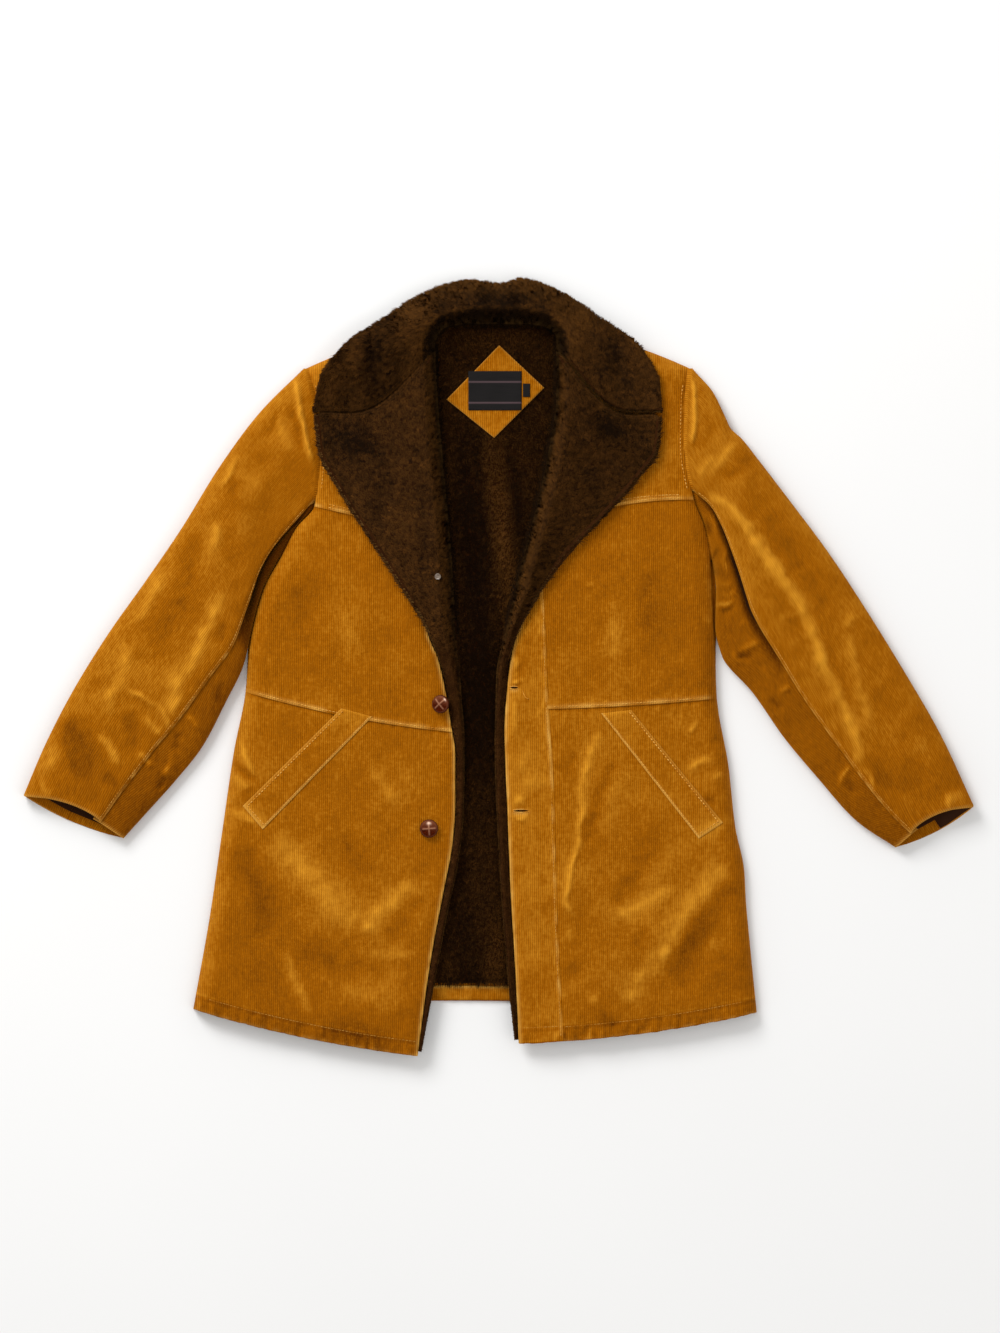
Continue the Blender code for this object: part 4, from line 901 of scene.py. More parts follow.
def fall_surface(rows, stand, fall, position):
    """Points of what folds over: shares of the stand, then of the fall, at places along it."""
    row = section(rows, position[:, None])
    reach = np.hypot(row.edge_x - row.roll_x, row.edge_y - row.roll_y)
    crest = np.minimum(CREST_REACH, CREST_SHARE * reach)
    start = np.radians(row.start)
    turn = mix(start, math.pi / 2, stand)
    stand_out = crest * (1 - np.cos(turn) / np.cos(start))
    stand_z = mix(row.base_z, row.crest_z, (np.sin(turn) - np.sin(start)) / (1 - np.sin(start)))
    lying = 0.5 + 0.5 * np.cos(math.pi * fall**LYING_POWER)
    hanging = 1 - fall**HANGING_POWER
    fall_out = mix(crest, reach, fall)
    fall_z = mix(row.edge_z, row.crest_z, mix(lying, hanging, row.hang))
    out = np.concatenate([stand_out, fall_out], 1)
    share = out / reach
    x = mix(row.roll_x, row.edge_x, share)
    y = mix(row.roll_y, row.edge_y, share) - gorge_bow(rows, position[:, None], share)
    return np.stack([x, y, np.concatenate([stand_z, fall_z], 1)], -1)


def tube_share(angle):
    """Share of a sleeve's width at an angle that runs from the inner fold over the top."""
    return 0.5 - 0.5 * signed_power(np.cos(angle), TUBE_WIDTH_POWER)


def tube_angle(share):
    return np.arccos(np.clip(signed_power(1 - 2 * share, 1 / TUBE_WIDTH_POWER), -1, 1))


def tube_height(height, angle):
    level = signed_power(np.sin(angle), TUBE_HEIGHT_POWER)
    return height * np.maximum(0.0, TUBE_BELLY + (1 - TUBE_BELLY) * level)


def sleeve_plan(sleeve, position, share, level):
    """Plan place of sleeve points, with the armhole curve at one end and the open cuff at the other."""
    row, first = section(sleeve.rings, position), sleeve.rings[0]
    x, y = mix(row.in_x, row.out_x, share), mix(row.in_y, row.out_y, share)
    fade = np.maximum(0.0, 1 - position / ARMHOLE_FADE) ** 2
    armhole_x = column(sleeve.side, "x", mix(first.in_y, first.out_y, share))
    x = x + fade * (armhole_x - mix(first.in_x, first.out_x, share)) + sleeve.outward * ARMHOLE_GAP
    if sleeve.side is LEFT_SIDE:
        head = sum(push * bell(position, half, place) for place, half, push in LEFT_HEAD) * share**3
        x, y = x + HEAD_PUSH[0] * head, y + HEAD_PUSH[1] * head
    last = len(sleeve.rings) - 1
    near_cuff = np.maximum(0.0, 1 - (last - position) / CUFF_RINGS) ** 2
    slide = near_cuff * mix(CUFF_PUSH, -CUFF_PULL, level) * 4 * share * (1 - share)
    run_x, run_y = -(row.out_y - row.in_y), row.out_x - row.in_x
    long = -sleeve.outward / np.hypot(run_x, run_y)
    return x + run_x * long * slide, y + run_y * long * slide


def sleeve_creases(x, y, z, crown, from_seam):
    """Creases of a sleeve, which is more rumpled than the body."""
    rumples = 0.35 * unevenness(x, y, 60, 7) + 0.12 * unevenness(x, y, 26, 8)
    return (cloth_relief(x, y) + rumples) * rounded(from_seam, 3 * LIP) * z / crown


def top_sleeve(sleeve, position, lip, turn, floor):
    """Points from the lip over the seam, across the top, round the outer fold, to the floor."""
    position = position[:, None]
    row = section(sleeve.rings, position)
    width = np.hypot(row.out_x - row.in_x, row.out_y - row.in_y)
    lip_z = tube_height(row.crown - row.step, tube_angle(row.seam)) + LIP_GAP
    lip_angle = tube_angle(row.seam + lip / width)
    tube = mix(tube_angle(row.seam + LIP / width), math.pi + FLOOR_ANGLE, turn)
    angle = np.concatenate([lip_angle, tube], 1)
    share = tube_share(angle)
    from_seam = (share - row.seam) * width
    z = tube_height(row.crown, angle)
    on_top = angle < math.pi
    z = np.where(on_top, mix(lip_z, z, rounded(from_seam, LIP)), z)
    floor_share = mix(1 - tube_share(-FLOOR_ANGLE), HIND_SEAM, floor) + 0 * position
    share = np.concatenate([share, floor_share], 1)
    z = np.concatenate([z, 0 * floor_share], 1)
    x, y = sleeve_plan(sleeve, position, share, z / row.crown)
    top = slice(0, angle.shape[1])
    relief = sleeve_creases(x[:, top], y[:, top], z[:, top], row.crown, from_seam)
    z[:, top] += np.where(on_top, relief, 0)
    return np.stack([x, y, z], -1)


def under_sleeve(side, position, floor, turn):
    """Points from the hind seam along the floor, round the inner fold, to below the lip, and how
    much each lies in the slit beside that lip, which gets painted shadow."""
    sleeve = SLEEVES[side]
    position = position[:, None]
    row = section(sleeve.rings, position)
    width = np.hypot(row.out_x - row.in_x, row.out_y - row.in_y)
    height = row.crown - row.step
    floor_share = mix(HIND_SEAM - 0.05 / width, tube_share(-FLOOR_ANGLE), floor)
    angle = mix(-FLOOR_ANGLE, tube_angle(row.seam + UNDERLAP / width), turn)
    share = np.concatenate([floor_share, tube_share(angle)], 1)
    z = np.concatenate([0 * floor_share, tube_height(height, angle)], 1)
    x, y = sleeve_plan(sleeve, position, share, z / row.crown)
    upper = np.clip(z / height * 4 - 2, 0, 1)
    creased = crease_height(x, y) * np.clip((row.seam - share) * width / 6, 0, 1)
    slit = SLITS[side]
    in_slit = np.clip((position - slit.first) / (slit.last - slit.first), 0, 1)
    from_lip = np.minimum(share - row.seam, 0) * width
    sunk = np.sin(math.pi * in_slit) ** 0.6 * bell(from_lip, slit.reach) * upper
    z = z + creased * upper - slit.depth * sunk
    return np.stack([x, y, z], -1), sunk


def lining_height(x, y):
    return LINING_TOP + bumps(LINING_FOLDS, x, y)


def patch_surface(corners, height, lift, share, along):
    """A four-cornered piece lying on a surface."""
    (a, b), (c, d) = corners
    x = mix(mix(a[0], b[0], share), mix(c[0], d[0], share), along)
    y = mix(mix(a[1], b[1], share), mix(c[1], d[1], share), along)
    return np.stack([x, y, height(x, y) + lift], -1)


def normals_of(points, up_at):
    """Outward normals of a grid of points; at the named row and column they point up."""
    across, along = np.gradient(points, axis=1), np.gradient(points, axis=0)
    normal = np.cross(across, along)
    normal /= np.maximum(np.linalg.norm(normal, axis=-1, keepdims=True), 1e-9)
    return normal if normal[up_at][2] > 0 else -normal


def run_lengths(points):
    """Distances along a grid: from its first column, and from its first row."""
    across = np.linalg.norm(np.diff(points, axis=1), axis=-1)
    along = np.linalg.norm(np.diff(points, axis=0), axis=-1)
    return (
        np.concatenate([np.zeros((len(points), 1)), np.cumsum(across, 1)], 1),
        np.concatenate([np.zeros((1, points.shape[1])), np.cumsum(along, 0)], 0),
    )


def border_distances(points):
    """Distances of each point from the first and last column and the first and last row."""
    across, along = run_lengths(points)
    return across, across[:, -1:] - across, along, along[-1:] - along


def soften(points, normals, radius, borders):
    """Rounds the named borders over: left and right columns, bottom and top rows."""
    names = ("left", "right", "bottom", "top")
    for name, distance in zip(names, border_distances(points)):
        if name in borders:
            drop = radius * (1 - rounded(distance, radius))
            points = points - normals * drop[..., None]
    return points


def grid_faces(index):
    """Four-sided faces between neighbours in a grid of point numbers."""
    corners = (index[:-1, :-1], index[:-1, 1:], index[1:, 1:], index[1:, :-1])
    return np.stack([corner.ravel() for corner in corners], 1)


def every(count, step):
    """Every step-th place of a count, always with the last one."""
    return np.unique(np.append(np.arange(0, count, step), count - 1))


def rim_faces(outer, inner, kept_rows, kept_columns):
    """Faces round the borders of a fine grid of points and a coarser one behind it."""
    sides = (
        (outer[0], inner[0], kept_columns),
        (outer[:, -1], inner[:, -1], kept_rows),
        (outer[-1, ::-1], inner[-1, ::-1], outer.shape[1] - 1 - kept_columns[::-1]),
        (outer[::-1, 0], inner[::-1, 0], outer.shape[0] - 1 - kept_rows[::-1]),
    )
    faces = []
    for fine, coarse, kept in sides:
        for i in range(len(kept) - 1):
            run = fine[kept[i] : kept[i + 1] + 1]
            faces.append([*run[::-1].tolist(), int(coarse[i]), int(coarse[i + 1])])
    return faces


def new_piece(name, points, faces, materials, face_material=None, smooth=True):
    """A mesh piece from millimetre points, riding on the jacket."""
    mesh = bpy.data.meshes.new(name)
    placed = (np.asarray(points) - (*LAYOUT_CENTRE, 0)) * MM
    mesh.from_pydata(placed.tolist(), [], faces if isinstance(faces, list) else faces.tolist())
    for material in materials:
        mesh.materials.append(material)
    if face_material is not None:
        mesh.polygons.foreach_set("material_index", np.asarray(face_material, np.int32))
    if smooth:
        mesh.shade_smooth()
    mesh.update()
    piece = bpy.data.objects.new(name, mesh)
    bpy.context.scene.collection.objects.link(piece)
    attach(piece, "root")
    return piece


def add_map(piece, name, places):
    """A UV map from one place per vertex."""
    mesh = piece.data
    corner = np.empty(len(mesh.loops), np.int32)
    mesh.loops.foreach_get("vertex_index", corner)
    layer = mesh.uv_layers.new(name=name)
    layer.uv.foreach_set("vector", places[corner].astype(np.float32).ravel())


def add_values(piece, name, values):
    attribute = piece.data.attributes.new(name, "FLOAT", "POINT")
    attribute.data.foreach_set("value", np.asarray(values, np.float32).ravel())


Wall = namedtuple("Wall", "piece top normals")


def cloth_wall(
    name, top, wall, materials, up_at, grain=None, nap=0.0, wear=0.0, turned_in=0, step=INNER_STEP
):
    """A closed wall of cloth below a grid of points. materials are the outer and the inner one;
    turned_in says how many of the last rows have the outer one on the inner face too."""
    rows, columns = top.shape[:2]
    normals = normals_of(top, up_at)
    below = top - normals * np.broadcast_to(wall, (rows, columns))[..., None]
    kept_rows, kept_columns = every(rows, step), every(columns, step)
    below = below[np.ix_(kept_rows, kept_columns)]
    outer_at = np.arange(rows * columns).reshape(rows, columns)
    inner_at = rows * columns + np.arange(below[..., 0].size).reshape(below.shape[:2])
    outer, inner = grid_faces(outer_at), grid_faces(inner_at)
    rim = rim_faces(outer_at, inner_at, kept_rows, kept_columns)
    if np.cross(top[0, 1] - top[0, 0], top[1, 0] - top[0, 0]) @ normals[0, 0] < 0:
        outer = outer[:, ::-1]
        rim = [face[::-1] for face in rim]
    else:
        inner = inner[:, ::-1]
    face_row = np.repeat(kept_rows[:-1], len(kept_columns) - 1)
    inner_slot = np.where(face_row >= rows - turned_in, 0, 1)
    slots = np.concatenate([np.zeros(len(outer), int), inner_slot, np.zeros(len(rim), int)])
    points = np.concatenate([top.reshape(-1, 3), below.reshape(-1, 3)])
    piece = new_piece(name, points, [*outer.tolist(), *inner.tolist(), *rim], materials, slots)
    piece.data.set_sharp_from_angle(angle=math.radians(60))
    if grain is None:
        grain = top[..., :2]
    behind = grain[np.ix_(kept_rows, kept_columns)]
    add_map(piece, "grain", np.concatenate([grain.reshape(-1, 2), behind.reshape(-1, 2)]) * MM)
    # nap carries the tone, much of it painted light and shade; wear carries rubs, and on some pieces
    # painted shadow, painted sheen, painted light on button strands, or printed stripes instead
    for label, values in (("nap", nap), ("wear", wear)):
        shown = np.broadcast_to(values, (rows, columns)).ravel()
        add_values(piece, label, np.concatenate([shown, np.zeros(below[..., 0].size)]))
    return Wall(piece, top, normals)


def shader_of(material):
    return material.node_tree.nodes["Principled BSDF"]


class Nodes:
    """Short words for placing and joining shader nodes."""

    def __init__(self, tree):
        self.tree = tree

    def add(self, kind, inputs=None, **settings):
        node = self.tree.nodes.new(kind)
        for name, value in settings.items():
            setattr(node, name, value)
        for name, value in (inputs or {}).items():
            self.set(node.inputs[name], value)
        return node

    def set(self, socket, value):
        if isinstance(value, bpy.types.NodeSocket):
            self.tree.links.new(value, socket)
        else:
            socket.default_value = value

    def math(self, operation, a, b=0.0, clamp=False):
        node = self.add("ShaderNodeMath", {0: a, 1: b}, operation=operation, use_clamp=clamp)
        return node.outputs[0]

    def ramp(self, value, low, high, to_low=0.0, to_high=1.0, smooth=True):
        node = self.add(
            "ShaderNodeMapRange",
            {"Value": value, "From Min": low, "From Max": high, "To Min": to_low, "To Max": to_high},
            interpolation_type="SMOOTHSTEP" if smooth else "LINEAR",
        )
        return node.outputs["Result"]

    def mix(self, share, a, b):
        node = self.add("ShaderNodeMix", data_type="RGBA")
        self.set(node.inputs["Factor"], share)
        self.set(node.inputs["A"], a)
        self.set(node.inputs["B"], b)
        return node.outputs["Result"]

    def noise(self, place, scale, detail=2.0, roughness=0.5):
        node = self.add(
            "ShaderNodeTexNoise",
            {"Vector": place, "Scale": scale, "Detail": detail, "Roughness": roughness},
        )
        return node.outputs["Fac"]

    def stretched(self, place, scale):
        node = self.add("ShaderNodeMapping", {"Vector": place, "Scale": scale}, vector_type="POINT")
        return node.outputs[0]

    def place(self):
        """Places on the piece itself, in metres."""
        return self.add("ShaderNodeTexCoord").outputs["Object"]

    def map(self, name):
        return self.add("ShaderNodeUVMap", uv_map=name).outputs["UV"]


def new_group(name, inputs, outputs):
    """A shader node group with named sockets; returns it, its Nodes, its inputs and its output node."""
    group = bpy.data.node_groups.new(name, "ShaderNodeTree")
    for socket, kind, value in inputs:
        made = group.interface.new_socket(socket, in_out="INPUT", socket_type=kind)
        if value is not None:
            made.default_value = value
    for socket, kind in outputs:
        group.interface.new_socket(socket, in_out="OUTPUT", socket_type=kind)
    nodes = Nodes(group)
    return group, nodes, nodes.add("NodeGroupInput").outputs, nodes.add("NodeGroupOutput").inputs


def colour(red, green, blue, light=LIGHT_LEVEL):
    """A colour from 0 to 255 as it looks under the studio light, as a linear base colour."""

    def linear(value):
        value /= 255
        return (value / 12.92 if value < 0.04045 else ((value + 0.055) / 1.055) ** 2.4) / light

    return (linear(red), linear(green), linear(blue), 1.0)


def rib_group():
    """Ribs of corduroy that run along the grain map, slightly wavy, with cut fibres on them."""
    group, nodes, given, out = new_group(
        "corduroy_ribs",
        [("Grain", "NodeSocketVector", None), ("Pitch", "NodeSocketFloat", WALE_PITCH * MM)],
        [("Ridge", "NodeSocketFloat"), ("Height", "NodeSocketFloat")],
    )
    parts = nodes.add("ShaderNodeSeparateXYZ", {0: given["Grain"]})
    wander = nodes.noise(nodes.stretched(given["Grain"], (40, 40, 40)), 1.0, 1.0)
    across = nodes.math("DIVIDE", parts.outputs["X"], given["Pitch"])
    across = nodes.math("ADD", across, nodes.math("MULTIPLY", wander, 0.9))
    wave = nodes.math("MULTIPLY", nodes.math("PINGPONG", across, 0.5), 2.0)
    ridge = nodes.ramp(wave, 0.05, 0.75)
    fibres = nodes.noise(nodes.stretched(given["Grain"], (2600, 700, 1000)), 1.0, 2.0)
    height = nodes.math("ADD", ridge, nodes.math("MULTIPLY", fibres, 0.35))
    nodes.set(out["Ridge"], ridge)
    nodes.set(out["Height"], height)
    return group


def nap_group():
    """Light and dark of brushed cloth: broad patches, streaks along the grain, rubs and specks."""
    group, nodes, given, out = new_group(
        "brushed_nap",
        [("Place", "NodeSocketVector", None), ("Grain", "NodeSocketVector", None)],
        [("Tone", "NodeSocketFloat"), ("Specks", "NodeSocketFloat")],
    )
    broad = nodes.noise(given["Place"], 22.0, 3.0, 0.5)
    streaks = nodes.noise(nodes.stretched(given["Grain"], (330, 80, 1)), 1.0, 2.0, 0.5)
    rubs = nodes.noise(nodes.stretched(given["Grain"], (140, 230, 1)), 1.0, 3.0, 0.6)
    specks = nodes.noise(nodes.stretched(given["Grain"], (700, 420, 1)), 1.0, 2.0, 0.6)
    tone = nodes.math("MULTIPLY", broad, 0.3)
    tone = nodes.math("ADD", tone, nodes.math("MULTIPLY", streaks, 0.35))
    tone = nodes.math("ADD", tone, nodes.math("MULTIPLY", rubs, 0.35))
    nodes.set(out["Tone"], tone)
    nodes.set(out["Specks"], specks)
    return group


def place_group(nodes, group, **given):
    node = nodes.add("ShaderNodeGroup", node_tree=group)
    for name, value in given.items():
        nodes.set(node.inputs[name], value)
    return node.outputs


def new_material(name, roughness, specular=0.2, sheen=0.0, sheen_roughness=0.5, sheen_tint=None):
    """A material with what is even all over set on its shader."""
    material = bpy.data.materials.new(name)
    material.use_nodes = True
    shader = shader_of(material)
    shader.inputs["Roughness"].default_value = roughness
    shader.inputs["Specular IOR Level"].default_value = specular
    shader.inputs["Sheen Weight"].default_value = sheen
    shader.inputs["Sheen Roughness"].default_value = sheen_roughness
    if sheen_tint:
        shader.inputs["Sheen Tint"].default_value = sheen_tint
    return material, Nodes(material.node_tree), shader


def value_of(nodes, name):
    return nodes.add("ShaderNodeAttribute", attribute_name=name).outputs["Fac"]


def share_of(nodes, name):
    """A value of the points, held between 0 and 1."""
    return nodes.math("MULTIPLY", value_of(nodes, name), 1.0, True)


def coat(nodes, shader, tint, pattern, low, high):
    """Base colour, and a roughness that goes from low to high with a pattern."""
    nodes.set(shader.inputs["Base Color"], tint)
    nodes.set(shader.inputs["Roughness"], nodes.ramp(pattern, 0.3, 0.7, low, high))


def bump(nodes, shader, height, strength, distance):
    node = nodes.add("ShaderNodeBump", {"Height": height, "Strength": strength, "Distance": distance})
    nodes.set(shader.inputs["Normal"], node.outputs["Normal"])


def make_corduroy(ribs, nap):
    """Brushed ribbed cotton: painted shade between the ribs, light where it is rubbed, and the painted
    light and shade that the nap values carry, down to a near-black painted shadow.
    """
    material, nodes, shader = new_material("corduroy", 0.9, 0.1, 0.3, 0.4, (1.0, 0.45, 0.04, 1.0))
    shader.inputs["Specular Tint"].default_value = (1.0, 0.5, 0.05, 1.0)
    grain = nodes.map("grain")
    place = nodes.place()
    rib = place_group(nodes, ribs, Grain=grain)
    brushed = place_group(nodes, nap, Place=place, Grain=grain)
    tone = nodes.ramp(brushed["Tone"], 0.0, 1.0, -0.7, 1.7, False)
    # nap values: mostly painted light and shade of creases, slopes, slits and underarms, with the nap's
    # own patches
    tone = nodes.math("ADD", tone, nodes.math("MULTIPLY", value_of(nodes, "nap"), 0.6))
    # the tones below the cloth's own darkest are painted shadow, near black in slits and underarms
    deep = nodes.mix(nodes.ramp(tone, -2.0, -0.7, smooth=False), colour(18, 7, 1), colour(90, 42, 3))
    low = nodes.mix(nodes.ramp(tone, -0.7, 0.5, smooth=False), deep, colour(166, 94, 5))
    high = nodes.mix(nodes.ramp(tone, 0.5, 1.6, smooth=False), low, colour(226, 152, 40))
    # wear values: rubs, and the painted sheen of the front edges
    worn = share_of(nodes, "wear")
    rubbed = nodes.mix(worn, high, colour(232, 172, 78))
    # painted shade in the grooves between the ribs
    groove = nodes.mix(nodes.ramp(rib["Ridge"], 0.0, 0.8, 0.34, 0.0), rubbed, colour(84, 40, 1))
    specked = nodes.mix(nodes.ramp(brushed["Specks"], 0.54, 0.8, 0.0, 0.4), groove, colour(218, 148, 40))
    nodes.set(shader.inputs["Base Color"], specked)
    nodes.set(shader.inputs["Roughness"], nodes.ramp(rib["Ridge"], 0.0, 1.0, 0.98, 0.82))
    bump(nodes, shader, rib["Height"], 0.7, 0.0006)
    return material


def make_thread():
    """Tan sewing thread, twisted."""
    material, nodes, shader = new_material("thread", 0.8, 0.02)
    place = nodes.place()
    shades = nodes.noise(place, 90.0, 2.0)
    tint = nodes.mix(nodes.ramp(shades, 0.35, 0.65), colour(216, 142, 44), colour(250, 190, 92))
    twist = nodes.noise(nodes.stretched(place, (2400, 2400, 900)), 1.0, 1.0)
    coat(nodes, shader, tint, twist, 0.6, 0.8)
    bump(nodes, shader, twist, 0.4, 0.0002)
    return material


def make_buttonhole_shade():
    """A near-black sheet in the slit of a buttonhole, as painted shadow of its opening."""
    material, nodes, shader = new_material("buttonhole_slit", 0.95, 0.0)
    place = nodes.place()
    fibres = nodes.noise(place, 1400.0, 2.0)
    tint = nodes.mix(nodes.ramp(fibres, 0.3, 0.7), colour(24, 9, 2), colour(52, 24, 5))
    coat(nodes, shader, tint, fibres, 0.98, 0.85)
    return material


def make_pile_backing():
    """Knitted ground of the pile, seen only between its tufts, with painted shadow where it turns
    inwards.
    """
    material, nodes, shader = new_material("pile_ground", 0.95, 0.02)
    place = nodes.place()
    clumps = nodes.noise(place, 150.0, 3.0)
    tint = nodes.mix(nodes.ramp(clumps, 0.3, 0.7), colour(44, 22, 7), colour(58, 31, 10))
    # the wear values of the ground carry that painted shadow
    inside = share_of(nodes, "wear")
    coat(nodes, shader, nodes.mix(inside, tint, colour(20, 8, 3)), clumps, 0.98, 0.85)
    bump(nodes, shader, clumps, 0.4, 0.001)
    return material


def make_pile_nap():
    """Tufts of the pile: dark at the root, browner at the tip, each with its own tone, which also
    carries the painted light and shade of its place.
    """
    material, nodes, shader = new_material("pile_nap", 0.85, 0.04, 0.12, 0.4, (0.8, 0.4, 0.1, 1.0))
    place = nodes.map("OFBake")
    parts = nodes.add("ShaderNodeSeparateXYZ", {0: place})
    tone, reach = parts.outputs["X"], parts.outputs["Y"]
    root = nodes.mix(nodes.ramp(tone, 0.0, 1.0, smooth=False), colour(28, 12, 3), colour(58, 31, 11))
    tip = nodes.mix(nodes.ramp(tone, 0.0, 1.0, smooth=False), colour(16, 7, 1), colour(106, 66, 24))
    nodes.set(shader.inputs["Base Color"], nodes.mix(nodes.ramp(reach, 0.0, 0.8), root, tip))
    nodes.set(shader.inputs["Roughness"], nodes.ramp(reach, 0.0, 1.0, 0.95, 0.75))
    return material


def make_sleeve_lining():
    """Smooth dark twill inside the sleeves."""
    material, nodes, shader = new_material("sleeve_lining", 0.6, 0.05)
    grain = nodes.map("grain")
    twill = nodes.add("ShaderNodeTexWave", {"Vector": grain, "Scale": 900.0}, bands_direction="DIAGONAL")
    tint = nodes.mix(twill.outputs["Fac"], colour(40, 18, 5), colour(62, 32, 10))
    nodes.set(shader.inputs["Base Color"], tint)
    nodes.set(shader.inputs["Roughness"], nodes.ramp(twill.outputs["Fac"], 0, 1, 0.45, 0.6))
    bump(nodes, shader, twill.outputs["Fac"], 0.3, 0.0002)
    return material


def make_label_cloth():
    """Black woven ribbon with a satin face, bare but for two thin stripes."""
    material, nodes, shader = new_material("label_weave", 0.6, 0.1)
    place = nodes.place()
    weft = nodes.add("ShaderNodeTexWave", {"Vector": place, "Scale": 420.0}, bands_direction="Y")
    shades = nodes.noise(nodes.stretched(place, (60, 400, 60)), 1.0, 2.0)
    tint = nodes.mix(shades, colour(14, 12, 12), colour(40, 36, 35))
    woven = nodes.mix(weft.outputs["Fac"], tint, colour(12, 11, 11))
    stripe = share_of(nodes, "wear")
    coat(nodes, shader, nodes.mix(stripe, woven, colour(112, 88, 92)), shades, 0.45, 0.65)
    bump(nodes, shader, weft.outputs["Fac"], 0.35, 0.0002)
    return material


def make_leather():
    """Glossy red-brown leather of the buttons, worn pale on the strands, with painted light on its upper
    side and a painted highlight.
    """
    material, nodes, shader = new_material("button_leather", 0.3, 0.03)
    shader.inputs["Specular Tint"].default_value = (1.0, 0.5, 0.3, 1.0)
    place = nodes.place()
    pores = nodes.noise(place, 900.0, 3.0)
    base = nodes.mix(nodes.ramp(pores, 0.3, 0.7), colour(48, 9, 1), colour(84, 27, 7))
    # painted light on the button's upper side, from its nap values
    painted_light = nodes.mix(share_of(nodes, "nap"), base, colour(150, 90, 60))
    rubbed = nodes.mix(share_of(nodes, "wear"), painted_light, colour(206, 150, 116))
    # painted highlight
    painted_shine = nodes.mix(share_of(nodes, "painted_highlight"), rubbed, colour(255, 218, 192))
    coat(nodes, shader, painted_shine, pores, 0.24, 0.42)
    bump(nodes, shader, pores, 0.2, 0.0003)
    return material


def make_horn():
    """Greyish horn of the small stay button."""
    material, nodes, shader = new_material("stay_horn", 0.35, 0.5)
    place = nodes.place()
    streaks = nodes.noise(nodes.stretched(place, (300, 900, 300)), 1.0, 3.0)
    tint = nodes.mix(nodes.ramp(streaks, 0.35, 0.65), colour(88, 72, 60), colour(140, 124, 108))
    coat(nodes, shader, tint, streaks, 0.28, 0.45)
    return material


def make_floor_paint():
    """Plain white floor with a trace of unevenness."""
    material, nodes, shader = new_material("floor_paint", 0.9, 0.1)
    place = nodes.place()
    shades = nodes.noise(place, 1.5, 2.0)
    tint = nodes.mix(shades, colour(247, 247, 247), colour(252, 252, 252))
    nodes.set(shader.inputs["Base Color"], tint)
    return material


ribs, brushed = rib_group(), nap_group()
corduroy = make_corduroy(ribs, brushed)
thread = make_thread()
buttonhole_shade = make_buttonhole_shade()
pile_ground = make_pile_backing()
pile_nap = make_pile_nap()
sleeve_lining = make_sleeve_lining()
label_cloth = make_label_cloth()
leather = make_leather()
horn = make_horn()


def painted_light_and_nap(points, up_at, base=0.0, darkest=DARKEST_NAP):
    """Tone of the nap values, most of it painted light and shade: crease ridges and slopes towards the
    light are painted pale, steep slopes get a painted sheen, troughs are painted dark, and the patches
    are partly the nap's own tone and partly painted light and shade.
    """
    x, y = points[..., 0], points[..., 1]
    normals = normals_of(points, up_at)
    # painted light on crease ridges and raised folds, painted shade in troughs and sunken folds
    relief = crease_height(x, y, True) + FOLD_PAINTED_LIGHT_AND_SHADE * bumps(FOLDS, x, y)
    # painted light on slopes that face the light, and a painted sheen on steep slopes
    level = np.clip(normals[..., 2], 0, 1)
    facing = PAINTED_SLOPE_LIGHT[1] * normals[..., 1] - PAINTED_SLOPE_LIGHT[0] * normals[..., 0]
    painted_light = np.clip(facing * level, *PAINTED_LIGHT_LIMITS)
    painted_sheen = PAINTED_SHEEN_TONE * np.clip(1 - level, 0, 0.5)
    tone = base + relief + PATCH_TONE * bumps(NAP_AND_PAINTED_LIGHT_PATCHES, x, y) + painted_light + painted_sheen
    return np.clip(tone, darkest, PALEST_NAP)


def fraying(x, y, seed):
    """How much of a rub or shade along an edge shows from place to place."""
    return 0.75 + 0.25 * unevenness(x, y, 17, seed)


def hem_tone(from_hem, dark, light):
    """Tone along the hem's stitch line: painted shadow just below it, in its groove, and rubbed just
    above it.
    """
    below, above = bell(from_hem, 1.9, HEM_STITCH - 1.5), bell(from_hem, 2.0, HEM_STITCH + 2.6)
    return light * above - dark * below


# Light along a rolled free edge: partly worn nap, partly painted sheen
def edge_rub_and_sheen(from_edge):
    return EDGE_WEAR * bell(from_edge, 2.4, 1.2)


def raised(points, lift=STITCH_LIFT):
    return points + (0, 0, lift)


